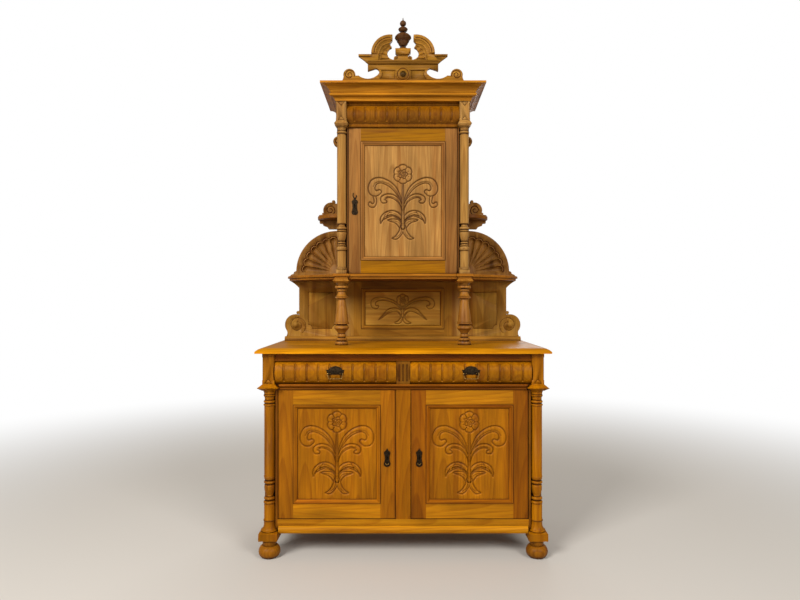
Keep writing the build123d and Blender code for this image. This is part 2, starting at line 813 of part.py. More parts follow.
with BuildPart() as pull_plate:
    front_band(plate_thickness)
    with BuildSketch(Plane.XZ.offset(-drawer_back_face)) as fan:
        half = pull_width / 2
        with BuildLine():
            Line((drawer_x - half + 6, plate_low), (drawer_x + half - 6, plate_low))
            Line((drawer_x + half - 6, plate_low), (drawer_x + half, plate_low + 20))
            ThreePointArc(
                (drawer_x + half, plate_low + 20), (drawer_x + half - 9, plate_low + 20),
                (drawer_x + half - 15, plate_low + 27),
            )
            ThreePointArc(
                (drawer_x + half - 15, plate_low + 27), (drawer_x, plate_low + pull_height),
                (drawer_x - half + 15, plate_low + 27),
            )
            ThreePointArc(
                (drawer_x - half + 15, plate_low + 27), (drawer_x - half + 9, plate_low + 20),
                (drawer_x - half, plate_low + 20),
            )
            Line((drawer_x - half, plate_low + 20), (drawer_x - half + 6, plate_low))
        make_face()
    extrude(amount=drawer_bulge + plate_thickness + drawer_edge_depth + 5, mode=Mode.INTERSECT)
    for side in (1, -1):
        lug_middle = drawer_x + side * lug_spacing / 2
        with BuildSketch(Plane.YZ.offset(lug_middle - lug_width / 2)):
            with Locations((bail_axis_y, bail_axis_z)):
                Circle(lug_radius)
            with Locations((bail_axis_y + lug_reach / 2, bail_axis_z)):
                Rectangle(lug_reach, 2 * lug_radius)
            with Locations((bulge_centre_y, drawer_middle)):
                Circle(bulge_radius, mode=Mode.SUBTRACT)
            with Locations((bail_axis_y, bail_axis_z)):
                Circle(bail_radius + pin_clearance, mode=Mode.SUBTRACT)
        extrude(amount=lug_width)
save_pair(pull_plate.part, "pull_plate")

bail_pin = 3.0                  # bail's end beyond its lug, on the inside
with BuildPart() as pull_bail:
    inner_end = lug_spacing / 2 - lug_width / 2 - bail_pin
    outer_leg = lug_spacing / 2 + lug_width / 2 + 2 * bail_radius + 0.5
    with BuildLine() as bail_line:
        FilletPolyline(
            (drawer_x - inner_end, bail_axis_y, bail_axis_z),
            (drawer_x - outer_leg, bail_axis_y, bail_axis_z),
            (drawer_x - outer_leg + 6, bail_axis_y, bail_axis_z - bail_drop),
            (drawer_x + outer_leg - 6, bail_axis_y, bail_axis_z - bail_drop),
            (drawer_x + outer_leg, bail_axis_y, bail_axis_z),
            (drawer_x + inner_end, bail_axis_y, bail_axis_z),
            radius=2.5,
        )
    with BuildSketch(Plane(origin=bail_line.line @ 0, z_dir=bail_line.line % 0)):
        Circle(bail_radius)
    sweep(path=bail_line.line, transition=Transition.ROUND)
save_pair(pull_bail.part, "pull_bail")

# ---------------------------------------------------------------- doors and their fittings


def door_frame(low_x, high_x, low_z, high_z, front, stile, rail, pivot_side, lock_side, lock_inset, lock_z):
    """A framed door with its panel moulding, lock mortise, keyhole and pivot bores.

    pivot_side and lock_side are +1 for the edge on the right and -1 for the one on the left.
    """
    slab(low_x, high_x, front, front + frame_thickness, low_z, high_z)
    slab(
        low_x + stile, high_x - stile, front, front + frame_thickness, low_z + rail, high_z - rail,
        Mode.SUBTRACT
    )
    panel_moulding(
        low_x + stile, high_x - stile, low_z + rail, high_z - rail, front, mould_width, mould_proud,
        panel_setback
    )
    # Groove that holds the panel from behind the moulding
    slab(
        low_x + stile - groove_depth, high_x - stile + groove_depth, front + panel_setback,
        front + frame_thickness, low_z + rail - groove_depth, high_z - rail + groove_depth, Mode.SUBTRACT,
    )
    pivot_edge = high_x if pivot_side > 0 else low_x
    pivot_place = pivot_edge - pivot_side * pivot_inset
    bore = pivot_radius + pin_clearance
    with Locations((pivot_place, front + pivot_inset, low_z)):
        Cylinder(bore, pin_into_door, align=(Align.CENTER, Align.CENTER, Align.MIN), mode=Mode.SUBTRACT)
    with Locations((pivot_place, front + pivot_inset, high_z)):
        Cylinder(bore, pin_into_door, align=(Align.CENTER, Align.CENTER, Align.MAX), mode=Mode.SUBTRACT)
    lock_edge = high_x if lock_side > 0 else low_x
    inner_end = lock_edge - lock_side * lock_width
    slab(
        min(lock_edge, inner_end), max(lock_edge, inner_end), front + frame_thickness - lock_depth,
        front + frame_thickness, lock_z - lock_height / 2, lock_z + lock_height / 2, Mode.SUBTRACT,
    )
    keyhole(lock_edge - lock_side * lock_inset, lock_z, front, frame_thickness)


def keyhole(x, z, front, depth):
    """Keyhole: a round top with a slot below it, cut back from the front plane."""
    with BuildSketch(Plane.XZ.offset(-front)) as opening:
        with Locations((x, z)):
            Circle(keyhole_radius)
        with Locations((x, z - 2 * keyhole_radius)):
            Rectangle(keyhole_radius, 4 * keyhole_radius)
    extrude(opening.sketch, amount=-depth, mode=Mode.SUBTRACT)


def round_pivot_edge(piece, pivot_side, front):
    """Round the door's front edge over the pivots, so that it clears the stile as it turns."""
    side_edges = piece.edges().filter_by(Axis.Z).filter_by_position(Axis.Y, front - 0.1, front + 0.1)
    fillet(side_edges.sort_by(Axis.X)[-1 if pivot_side > 0 else 0], radius=door_corner_radius)


def door_panel(low_x, high_x, low_z, high_z, front, stile, rail):
    """Panel that fills the groove, with a shallow raised field behind the carving."""
    reach = groove_depth - slide_clearance
    back = front + frame_thickness
    slab(
        low_x + stile - reach, high_x - stile + reach, front + panel_setback,
        front + panel_setback + panel_thickness, low_z + rail - reach, high_z - rail + reach,
    )


def escutcheon(x, z, front):
    """Waisted key plate with a pointed top, a keyhole and a boss for its hanging drop."""
    half_width = escutcheon_width / 2
    half_height = escutcheon_height / 2
    with BuildSketch(Plane(origin=(x, front, z), x_dir=(1, 0, 0), z_dir=(0, -1, 0))) as outline:
        with BuildLine():
            for side in (1, -1):
                ThreePointArc(
                    (0, half_height), (side * half_width * 0.38, half_height - 9), (
                        side * half_width, half_height - 15,
                    )
                )
                Line((side * half_width, half_height - 15), (side * half_width, half_height - 22))
                ThreePointArc(
                    (side * half_width, half_height - 22), (side * half_width * 0.74, 0), (
                        side * half_width, -22,
                    )
                )
                ThreePointArc(
                    (side * half_width, -22), (side * half_width * 0.86, 4 - half_height), (0, -half_height)
                )
        make_face()
    extrude(outline.sketch, amount=plate_thickness)
    with Locations(Location((x, front - plate_thickness, z - half_height + 13), (90, 0, 0))):
        Cylinder(4.5, 3, align=(Align.CENTER, Align.CENTER, Align.MIN))
    keyhole(x, z + 6, front - plate_thickness, plate_thickness)


def lock_case(edge, lock_side, front, z):
    """Mortise lock case, open where its bolt comes out of the door's edge."""
    case_back = front + frame_thickness
    case_front = case_back - lock_depth
    near = edge
    far = edge - lock_side * (lock_width - trim_clearance)
    slab(
        min(near, far), max(near, far), case_front + trim_clearance, case_back,
        z - lock_height / 2 + trim_clearance, z + lock_height / 2 - trim_clearance,
    )
    deep = edge - lock_side * (bolt_length + 2 * lock_wall)
    slab(
        min(near, deep), max(near, deep), front + bolt_setback - slide_clearance,
        front + bolt_setback + bolt_thickness + slide_clearance,
        z - bolt_height / 2 - slide_clearance, z + bolt_height / 2 + slide_clearance, Mode.SUBTRACT,
    )


def lock_bolt(edge, lock_side, lock_inset, front, z):
    """Square lock bolt at rest, flush with the door's edge, with a notch for the key's bit."""
    near = edge - lock_side * 0.5
    far = near - lock_side * bolt_length
    slab(
        min(near, far), max(near, far), front + bolt_setback, front + bolt_setback + bolt_thickness,
        z - bolt_height / 2, z + bolt_height / 2,
    )
    notch = edge - lock_side * lock_inset
    slab(
        notch - 3, notch + 3, front + bolt_setback, front + bolt_setback + bolt_thickness,
        z - bolt_height / 2, z - bolt_height / 2 + 5, Mode.SUBTRACT,
    )


door_inner = centre_stile_width / 2 + door_gap
door_low = sill_height + door_gap
door_high = waist_bottom - door_gap
with BuildPart() as lower_door_frame:
    door_frame(
        door_inner, door_outer, door_low, door_high, frame_front, stile_width, rail_width,
        1, -1, lower_lock_inset, lower_lock_height,
    )
    round_pivot_edge(lower_door_frame, 1, frame_front)
save_pair(lower_door_frame.part, "lower_door_frame")

with BuildPart() as lower_door_panel:
    door_panel(door_inner, door_outer, door_low, door_high, frame_front, stile_width, rail_width)
save_pair(lower_door_panel.part, "lower_door_panel")

with BuildPart() as lower_escutcheon:
    escutcheon(door_inner + lower_lock_inset, lower_lock_height - 6, frame_front)
save_pair(lower_escutcheon.part, "lower_escutcheon")

with BuildPart() as lower_lock_case:
    lock_case(door_inner, -1, frame_front, lower_lock_height)
    keyhole(
        door_inner + lower_lock_inset, lower_lock_height, frame_front + frame_thickness - lock_depth,
        lock_depth,
    )
save_pair(lower_lock_case.part, "lower_lock_case")

with BuildPart() as lower_lock_bolt:
    lock_bolt(door_inner, -1, lower_lock_inset, frame_front, lower_lock_height)
save_pair(lower_lock_bolt.part, "lower_lock_bolt")

upper_door_half = upper_stile_inner - door_gap
with BuildPart() as upper_door_frame:
    door_frame(
        -upper_door_half, upper_door_half, upper_door_bottom, upper_door_top, upper_front,
        upper_stile, upper_rail,
        1, -1, upper_lock_inset, upper_lock_height,
    )
    round_pivot_edge(upper_door_frame, 1, upper_front)
save(upper_door_frame.part, "upper_door_frame")

with BuildPart() as upper_door_panel:
    door_panel(
        -upper_door_half, upper_door_half, upper_door_bottom, upper_door_top, upper_front,
        upper_stile, upper_rail
    )
save(upper_door_panel.part, "upper_door_panel")

with BuildPart() as upper_escutcheon:
    escutcheon(upper_lock_inset - upper_door_half, upper_lock_height - 6, upper_front)
save(upper_escutcheon.part, "upper_escutcheon")

with BuildPart() as upper_lock_case:
    lock_case(-upper_door_half, -1, upper_front, upper_lock_height)
    keyhole(
        upper_lock_inset - upper_door_half, upper_lock_height, upper_front + frame_thickness - lock_depth,
        lock_depth,
    )
save(upper_lock_case.part, "upper_lock_case")

with BuildPart() as upper_lock_bolt:
    lock_bolt(-upper_door_half, -1, upper_lock_inset, upper_front, upper_lock_height)
save(upper_lock_bolt.part, "upper_lock_bolt")

# ---------------------------------------------------------------- balusters

baluster_elements = [
    (15.0, 28.0, 28.0, 1.5),
    (4.0, 22.0, 22.0, 0),
    (11.0, 22.0, 22.0, 3.0),
    (4.0, 17.0, 17.0, 0),
    (13.0, 17.5, 17.5, 2.0),
    (4.0, 16.0, 16.0, 0),
    (20.0, 16.5, 32.0, -1.5),
    (14.0, 32.0, 26.0, 3.0),
    (5.0, 23.0, 23.0, 0),
    (9.0, 30.0, 30.0, 3.0),
    (99.0, 29.5, 15.5, 1.5),
    (5.0, 16.0, 24.0, -1.5),
    (6.0, 27.0, 28.5, 0),
    (24.0, 27.0, 16.5, -3.5),
    (9.0, 19.0, 19.0, 2.0),
    (4.0, 15.5, 15.5, 0),
    (11.0, 27.0, 27.0, 2.0),
]
baluster_height = shelf_gap_height - baluster_cap_height
baluster_neck = baluster_height - total_rise(baluster_elements)
for side, side_name in ((1, "right"), (-1, "left")):
    with BuildPart() as baluster:
        turn(baluster_elements + [(baluster_neck, 20.0, 26.0, -1.0)], side * column_x, column_y, top_surface)
        pointed_cap(
            side * column_x, column_y, top_surface + baluster_height, baluster_cap_height,
            baluster_cap - 16, 8
        )
    save(baluster.part, f"baluster_{side_name}")

# ---------------------------------------------------------------- middle shelf

shelf_front = column_y - 30
wing_start_y = column_y + 15
wing_end_y = back_board_front - 10
breakout = baluster_cap / 2


def wing_edge(set_back):
    """Four points along the shelf's swept front edge over a wing, set back by that much."""
    start_x = column_x + breakout - set_back
    end_x = shelf_tip - set_back
    points = []
    for share_x, share_y in ((0, 0), (0.43, 0.25), (0.87, 0.69), (1, 1)):
        points.append((
            start_x + share_x * (end_x - start_x),
            wing_start_y + set_back * (1 - share_y) + share_y * (wing_end_y - wing_start_y),
        ))
    return points


with BuildPart() as middle_shelf:
    with BuildSketch(Plane.XY.offset(mid_shelf_bottom + mid_shelf_thickness - mid_shelf_lip)) as shelf_plan:
        with BuildLine() as shelf_outline:
            for side in (1, -1):
                Polyline(
                    (side * (column_x - breakout), shelf_front),
                    (side * (column_x - breakout), column_y - breakout),
                    (side * (column_x + breakout), column_y - breakout),
                    (side * (column_x + breakout), wing_start_y),
                )
                Spline(*[(side * x, y) for x, y in wing_edge(0)])
                Line((side * shelf_tip, wing_end_y), (side * shelf_tip, back_board_rear))
            Line((breakout - column_x, shelf_front), (column_x - breakout, shelf_front))
            Line((-shelf_tip, back_board_rear), (shelf_tip, back_board_rear))
        make_face()
    extrude(amount=mid_shelf_lip)
    chamfer(
        middle_shelf.edges().group_by(Axis.Z)[-1].filter_by_position(Axis.Y, -top_depth / 2, wing_end_y - 1),
        length=3,
    )
    # The layer under the lip is set back all round, to read as a moulding
    with BuildSketch(Plane.XY.offset(mid_shelf_bottom)):
        for side in (1, -1):
            with BuildLine() as under_outline:
                Polyline(
                    (0, back_board_rear), (0, shelf_front + mid_shelf_cove),
                    (side * (column_x - breakout + mid_shelf_cove), shelf_front + mid_shelf_cove),
                    (side * (column_x - breakout + mid_shelf_cove), column_y - breakout + mid_shelf_cove),
                    (side * (column_x + breakout - mid_shelf_cove), column_y - breakout + mid_shelf_cove),
                    (side * (column_x + breakout - mid_shelf_cove), wing_start_y + mid_shelf_cove),
                )
                Spline(*[(side * x, y) for x, y in wing_edge(mid_shelf_cove)])
                Polyline(
                    (side * (shelf_tip - mid_shelf_cove), wing_end_y),
                    (side * (shelf_tip - mid_shelf_cove), back_board_rear), (0, back_board_rear),
                )
            make_face()
    extrude(amount=mid_shelf_thickness - mid_shelf_lip)
    with Locations((upper_pivot_x, upper_pivot_y, mid_shelf_top)):
        Cylinder(pivot_radius + pin_clearance, pivot_seat, align=(Align.CENTER, Align.CENTER, Align.MAX),
                 mode=Mode.SUBTRACT)
save(middle_shelf.part, "middle_shelf")

# ---------------------------------------------------------------- open niche: frame, panel and base moulding

with BuildPart() as niche_frame:
    slab(-niche_half, niche_half, back_board_front, back_board_rear, top_surface, mid_shelf_bottom)
    slab(
        -niche_panel_half, niche_panel_half, back_board_front, back_board_rear,
        niche_opening_bottom, niche_opening_top, Mode.SUBTRACT,
    )
    panel_moulding(
        -niche_panel_half, niche_panel_half, niche_opening_bottom, niche_opening_top,
        back_board_front, niche_mould, mould_proud, panel_setback,
    )
    slab(
        -niche_panel_half - groove_depth, niche_panel_half + groove_depth, back_board_front + panel_setback,
        back_board_rear, niche_opening_bottom - groove_depth, niche_opening_top + groove_depth, Mode.SUBTRACT,
    )
save(niche_frame.part, "niche_frame")

with BuildPart() as niche_panel:
    niche_reach = groove_depth - slide_clearance
    slab(
        -niche_panel_half - niche_reach, niche_panel_half + niche_reach, back_board_front + panel_setback,
        back_board_front + panel_setback + panel_thickness,
        niche_opening_bottom - niche_reach, niche_opening_top + niche_reach,
    )
save(niche_panel.part, "niche_panel")

with BuildPart() as back_base_moulding:
    with BuildSketch(Plane.YZ):
        with BuildLine():
            Polyline(
                (back_board_front, top_surface + base_mould_height), (back_board_front, top_surface),
                (base_mould_front, top_surface), (base_mould_front, top_surface + base_mould_height * 0.45),
            )
            ThreePointArc(
                (base_mould_front, top_surface + base_mould_height * 0.45),
                (base_mould_front + 4.5, top_surface + base_mould_height * 0.78),
                (back_board_front, top_surface + base_mould_height),
            )
        make_face()
    extrude(amount=base_mould_half, both=True)
save(back_base_moulding.part, "back_base_moulding")

# ---------------------------------------------------------------- lower back wings with their end scrolls

board_plane = Plane(origin=(0, back_board_front, 0), x_dir=(1, 0, 0), z_dir=(0, -1, 0))
nub_radius = 8.0
with BuildPart() as lower_wing:
    with BuildSketch(board_plane):
        with Locations(((niche_half + wing_half) / 2, (top_surface + mid_shelf_bottom) / 2)):
            Rectangle(wing_half - niche_half, mid_shelf_bottom - top_surface)
        with Locations((scroll_x, scroll_height)):
            Circle(scroll_radius)
        with Locations((wing_half + 5, scroll_height + scroll_radius + nub_radius)):
            Circle(nub_radius)
        with BuildLine():
            Polyline(
                (wing_half - 1, scroll_height), (wing_half - 1, top_surface), (
                    base_mould_half - 6, top_surface,
                ),
                (base_mould_half - 6, top_surface + base_mould_height),
            )
            ThreePointArc(
                (base_mould_half - 6, top_surface + base_mould_height),
                (scroll_x + scroll_radius * 0.78, scroll_height - scroll_radius * 0.9),
                (scroll_x + scroll_radius * 0.8, scroll_height - scroll_radius * 0.6),
            )
            Line(
                (scroll_x + scroll_radius * 0.8, scroll_height - scroll_radius * 0.6),
                (wing_half - 1, scroll_height),
            )
        make_face()
        with BuildLine():
            Line((wing_half - 1, mid_shelf_bottom), (shelf_tip - mid_shelf_cove, mid_shelf_bottom))
            ThreePointArc(
                (shelf_tip - mid_shelf_cove, mid_shelf_bottom), (wing_half + 20, mid_shelf_bottom - 15),
                (wing_half, mid_shelf_bottom - bracket_height),
            )
            Line((wing_half, mid_shelf_bottom - bracket_height), (wing_half - 1, mid_shelf_bottom))
        make_face()
    extrude(amount=-back_board_thickness)
    # Raised scroll rim and eye
    with BuildSketch(board_plane):
        with Locations((scroll_x, scroll_height)):
            Circle(scroll_radius * 0.26)
    extrude(amount=3)
save_pair(lower_wing.part, "lower_wing")

# ---------------------------------------------------------------- shell wings

with BuildPart() as shell_cutter:
    for number in range(shell_flutes):
        angle = radians(shell_first_angle + number * shell_pitch_angle)
        outward = (cos(angle), 0, sin(angle))
        start = (
            shell_x + shell_hub * cos(angle), back_board_front - 4, shell_height + shell_hub * sin(angle)
        )
        reach = shell_hollow - shell_hub
        end_radius = shell_hollow * radians(shell_pitch_angle) / 2
        start_radius = shell_hub * radians(shell_pitch_angle) / 2 + 2
        flute_plane = Plane(origin=start, x_dir=(0, 1, 0), z_dir=outward)
        with Locations(flute_plane):
            Cone(start_radius, end_radius, reach, align=(Align.CENTER, Align.CENTER, Align.MIN))
            Sphere(start_radius)
        with Locations(flute_plane.offset(reach)):
            Sphere(end_radius)

with BuildPart() as shell_wing:
    with BuildSketch(board_plane):
        with Locations((shell_x, shell_height)):
            Circle(shell_radius)
        with Locations((shell_x, mid_shelf_top - shell_radius)):
            Rectangle(2 * shell_radius + 40, 2 * shell_radius, mode=Mode.SUBTRACT)
        with Locations((spine_inner - shell_radius, shell_height)):
            Rectangle(2 * shell_radius, 2 * shell_radius, mode=Mode.SUBTRACT)
        # Spine up the back of the cabinet
        with Locations(((spine_inner + spine_outer) / 2, (mid_shelf_top + cornice_bottom) / 2)):
            Rectangle(spine_outer - spine_inner, cornice_bottom - mid_shelf_top)
        # Foot of the arch, stepped down to the shelf's tip
        with BuildLine():
            Polyline(
                (shell_x, mid_shelf_top), (shelf_tip - 8, mid_shelf_top), (shelf_tip - 12, mid_shelf_top + 8),
                (shell_x + shell_radius + 12, mid_shelf_top + 14), (
                    shell_x + shell_radius + 10, mid_shelf_top + 22,
                ),
                (shell_x + shell_radius - 2, mid_shelf_top + 28), (shell_x, mid_shelf_top + 28), close=True,
            )
        make_face()
        # Corbel under the side shelf, the shelf's own ear, and the steps over it
        with BuildLine():
            Polyline(
                (spine_outer - 1, side_shelf_height), (side_shelf_tip - 7, side_shelf_height),
                (side_shelf_tip - 7, side_shelf_height - 12), (side_shelf_tip - 22, side_shelf_height - 14),
                (side_shelf_tip - 24, side_shelf_height - 23), (side_shelf_tip - 44, side_shelf_height - 30),
                (side_shelf_tip - 50, side_shelf_height - 40),
                (spine_outer - 1, side_shelf_height - 40), close=True,
            )
        make_face()
        with Locations(
            ((spine_outer + side_shelf_tip) / 2 - 3, side_shelf_height + side_shelf_thickness / 2)
        ):
            Rectangle(side_shelf_tip - spine_outer - 2, side_shelf_thickness)
        shelf_top = side_shelf_height + side_shelf_thickness
        with BuildLine():
            Polyline(
                (spine_outer - 1, shelf_top), (side_shelf_tip - 4, shelf_top), (
                    side_shelf_tip - 4, shelf_top + 9,
                ),
                (side_shelf_tip - 19, shelf_top + 11), (side_shelf_tip - 19, shelf_top + 19),
                (side_shelf_tip - 26, shelf_top + 21), (spine_outer - 1, shelf_top + 21), close=True,
            )
        make_face()
        with Locations((crest_scroll_x, crest_scroll_height)):
            Circle(crest_scroll_radius)
        with Locations((crest_scroll_x - 12, crest_scroll_height + crest_scroll_radius + 3)):
            Circle(nub_radius)
        with Locations(((crest_scroll_x + spine_outer) / 2 - 8, crest_scroll_height)):
            Rectangle(crest_scroll_x - spine_outer + 16, 1.7 * crest_scroll_radius)
        with Locations((ear_x, ear_height)):
            Circle(ear_radius)
    extrude(amount=-back_board_thickness)
    add(shell_cutter.part, mode=Mode.SUBTRACT)
save_pair(shell_wing.part, "shell_wing")

with BuildPart() as side_shelves:
    with BuildSketch(Plane.XY.offset(side_shelf_height)):
        with BuildLine():
            Polyline(
                (side_shelf_tip, back_board_front), (upper_outer, back_board_front),
                (upper_outer, back_board_front - side_shelf_depth),
            )
            ThreePointArc(
                (upper_outer, back_board_front - side_shelf_depth),
                (
                    upper_outer + (side_shelf_tip - upper_outer) * 0.74,
                    back_board_front - side_shelf_depth * 0.74,
                ),
                (side_shelf_tip, back_board_front),
            )
        make_face()
    extrude(amount=side_shelf_thickness)
    curved = side_shelves.faces().filter_by(GeomType.CYLINDER)
    fillet(curved.edges().filter_by(GeomType.CIRCLE), radius=4)
    mirror(about=Plane.YZ)
save(side_shelves.part, "side_shelves")

# ---------------------------------------------------------------- upper columns

column_lower_elements = [
    (10.0, 21.0, 21.0, 1.5),
    (70.0, 19.0, 19.0, 0),
    (3.0, 17.5, 17.5, 0),
    (17.0, 18.5, 18.5, 3.0),
    (3.0, 15.0, 15.0, 0),
    (6.0, 16.0, 16.0, 1.5),
    (4.0, 12.5, 12.5, 0),
    (7.0, 14.5, 14.5, 2.0),
    (3.0, 12.0, 12.0, 0),
    (39.0, 12.5, 20.5, 2.0),
    (3.0, 18.0, 18.0, 0),
    (5.0, 21.0, 21.0, 0),
    (4.0, 17.0, 17.0, 0),
    (11.0, 18.5, 18.5, 3.0),
    (12.0, 18.0, 12.5, -2.0),
    (6.0, 17.0, 21.5, 0),
]
column_upper_elements = [
    (6.0, 17.0, 17.0, 0),
    (9.0, 19.0, 19.0, 2.5),
    (4.0, 16.0, 16.0, 0),
    (12.0, 16.5, 21.0, -1.5),
    (4.0, 21.5, 21.5, 0),
]
column_foot_top = mid_shelf_top + upper_base_height
column_height = upper_cap_bottom - column_foot_top
column_shaft = column_height - total_rise(column_lower_elements) - total_rise(column_upper_elements)
column_elements = column_lower_elements + [(column_shaft, 19.5, 19.5, 0)] + column_upper_elements
with BuildPart() as upper_column:
    slab(upper_inner, upper_outer, upper_block_front, upper_block_back, mid_shelf_top, column_foot_top)
    turn(column_elements, column_x, column_y, column_foot_top)
    pointed_cap(column_x, column_y, upper_cap_bottom, upper_cap_height, upper_block, upper_cap_overhang)
    slab(upper_inner, upper_outer, upper_block_front, upper_block_back, upper_block_bottom, cornice_bottom)
    stopped_chamfer(column_x, upper_block_front, upper_block / 2, upper_block_bottom, cornice_bottom, 6, 12)
    slab(0, upper_inner, upper_front, upper_corner_back, upper_cap_bottom, upper_block_bottom, Mode.SUBTRACT)
    slab(
        0, top_width / 2, upper_block_back, upper_corner_back, upper_cap_bottom, upper_block_bottom,
        Mode.SUBTRACT,
    )
save_pair(upper_column.part, "upper_column")

# ---------------------------------------------------------------- cabinet sides, back and shelf

upper_field_margin = 55.0
upper_field_depth = 5.0
frieze_back = upper_block_back
with BuildPart() as upper_side:
    with BuildSketch(Plane.XY.offset(mid_shelf_top)):
        with BuildLine():
            Polyline(
                (upper_stile_inner, upper_front), (upper_inner, upper_front), (upper_inner, upper_block_back),
                (upper_outer, upper_block_back), (upper_outer, back_board_front), (
                    upper_side_inner, back_board_front,
                ),
                (upper_side_inner, upper_corner_back), (upper_stile_inner, upper_corner_back), close=True,
            )
        make_face()
    extrude(amount=cornice_bottom - mid_shelf_top)
    slab(
        upper_stile_inner, upper_inner, upper_front, upper_block_back, bead_bottom, cornice_bottom,
        Mode.SUBTRACT,
    )
    slab(
        upper_outer - upper_field_depth, upper_outer, upper_block_back + upper_field_margin,
        back_board_front - upper_field_margin, side_shelf_height + side_shelf_thickness + upper_field_margin,
        cornice_bottom - upper_field_margin, Mode.SUBTRACT,
    )
    slab(
        upper_side_inner - cleat_width + 4, upper_side_inner, upper_corner_back, upper_back_front,
        upper_shelf_height - cleat_width, upper_shelf_height,
    )
save(upper_side.part, "upper_side_right")

with BuildPart() as upper_side_left:
    mirror(upper_side.part, about=Plane.YZ)
    # Mortise for the upper lock's bolt, through the strip beside the column
    slab(
        -upper_inner, -upper_stile_inner, upper_front + bolt_setback - bolt_clearance,
        upper_front + bolt_setback + bolt_thickness + bolt_clearance,
        upper_lock_height - bolt_height / 2 - bolt_clearance,
        upper_lock_height + bolt_height / 2 + bolt_clearance, Mode.SUBTRACT,
    )
save(upper_side_left.part, "upper_side_left")

with BuildPart() as upper_back:
    slab(
        -upper_side_inner, upper_side_inner, upper_back_front, back_board_front, mid_shelf_top, cornice_bottom
    )
save(upper_back.part, "upper_back")

with BuildPart() as upper_shelf:
    slab(
        slide_clearance - upper_side_inner, upper_side_inner - slide_clearance, upper_corner_back + 8,
        upper_back_front - slide_clearance, upper_shelf_height, upper_shelf_height + upper_shelf_thickness,
    )
    fillet(upper_shelf.edges().filter_by(Axis.X).group_by(Axis.Y)[0], radius=4)
save(upper_shelf.part, "upper_shelf")

# ---------------------------------------------------------------- fluted frieze over the upper door

frieze_edge = upper_front - 2
frieze_front = frieze_edge - frieze_bulge
frieze_flute = gouge(frieze_bottom, frieze_top, frieze_edge, frieze_front, 11.0)
frieze_half = upper_inner - trim_clearance
with BuildPart() as upper_frieze:
    slab(-frieze_half, frieze_half, upper_front, frieze_back, bead_bottom, cornice_bottom)
    with BuildSketch(Plane.YZ):
        bulging_section(frieze_bottom, frieze_top, frieze_edge, frieze_front, upper_front)
        bulging_section(
            bead_bottom, bead_bottom + bead_height, upper_front - 1, upper_front - bead_proud, upper_front,
        )
        with Locations((upper_front - 1.5, (frieze_top + cornice_bottom + 3) / 2)):
            Rectangle(3, cornice_bottom - frieze_top - 3)
    extrude(amount=frieze_half, both=True)
    flutes(0, flute_count, flute_pitch, frieze_flute)
    # Room for the columns' caps at both ends
    cap_reach = column_x - upper_block / 2 - upper_cap_overhang - trim_clearance
    for side in (1, -1):
        slab(
            min(side * cap_reach, side * upper_inner), max(side * cap_reach, side * upper_inner),
            frieze_front - 5, upper_front, bead_bottom - 1, upper_block_bottom + trim_clearance,
            Mode.SUBTRACT,
        )
    with Locations((upper_pivot_x, upper_pivot_y, bead_bottom)):
        Cylinder(pivot_radius + pin_clearance, pivot_seat, align=(Align.CENTER, Align.CENTER, Align.MIN),
                 mode=Mode.SUBTRACT)
save(upper_frieze.part, "upper_frieze")


# ---------------------------------------------------------------- cornice


def cornice_outline(face):
    """Points and arcs of the cornice from its foot up, at an overhang added to face."""
    cove_top = cornice_top - cornice_lip
    bead_low = cornice_bottom + 16
    bead_high = bead_low + 13
    foot = (face + 4, cornice_bottom)
    bed = (face + 17, bead_low)
    torus = (face + 20, bead_high)
    cove = (face + cornice_overhang - 8, cove_top)
    Line((0, cornice_bottom), foot)
    ThreePointArc(foot, (face + 7, cornice_bottom + 10), bed)
    ThreePointArc(bed, (face + 26, (bead_low + bead_high) / 2), torus)
    ThreePointArc(torus, (face + 31, bead_high + 17), cove)
    Line(cove, (face + cornice_overhang, cove_top))
    Line((face + cornice_overhang, cove_top), (face + cornice_overhang, cornice_top))
    Line((face + cornice_overhang, cornice_top), (0, cornice_top))
    Line((0, cornice_top), (0, cornice_bottom))


cornice_rear = back_board_rear
with BuildPart() as cornice:
    with BuildSketch(Plane.XZ):
        with BuildLine() as side_profile:
            cornice_outline(upper_outer)
        make_face()
        mirror(about=Plane.YZ)
    extrude(amount=top_depth / 2, both=True)
    with BuildSketch(Plane(origin=(0, 0, 0), x_dir=(0, -1, 0), z_dir=(-1, 0, 0))):
        with BuildLine() as front_profile:
            cornice_outline(-upper_block_front)
        make_face()
        with Locations((-cornice_rear / 2, (cornice_bottom + cornice_top) / 2)):
            Rectangle(cornice_rear, cornice_height)
    extrude(amount=top_width / 2, both=True, mode=Mode.INTERSECT)
    # Hollow under the dust board
    slab(
        -upper_side_inner, upper_side_inner, upper_corner_back, upper_back_front,
        cornice_bottom, cornice_top - cornice_top_board, Mode.SUBTRACT,
    )
save(cornice.part, "cornice")

# ---------------------------------------------------------------- crest

crest_plane = Plane(origin=(0, crest_front, cornice_top), x_dir=(1, 0, 0), z_dir=(0, -1, 0))
arch_inner = crest_arch_radius - crest_arch_band
arch_end_angle = degrees(acos((crest_break_half - crest_arch_x) / crest_arch_radius))
shoulder_top = crest_block_top + crest_mould_height
band_top = crest_block_top + crest_band_height
panel_sink = 4.0


def arch_point(radius, angle):
    """Point on the right half of the crest's broken arch, in the crest plane."""
    return (crest_arch_x + radius * cos(radians(angle)), crest_arch_height + radius * sin(radians(angle)))


# Points of the crest's outline, from its foot to its block, across and up from the cornice
volute_foot = (255.0, 34.0)
hollow_outer = (190.0, 36.0)
hollow_bottom = (143.0, 23.0)
hollow_inner = (104.0, 44.0)
hook_middle = (106.0, 62.0)
hook_tip = (118.0, 68.0)
# Lip of the half shell, and the round gap between it and the pedestal
shell_lip = (48.0, 157.0)
gap_outer = (67.0, 129.0)
gap_foot = (40.0, 104.0)

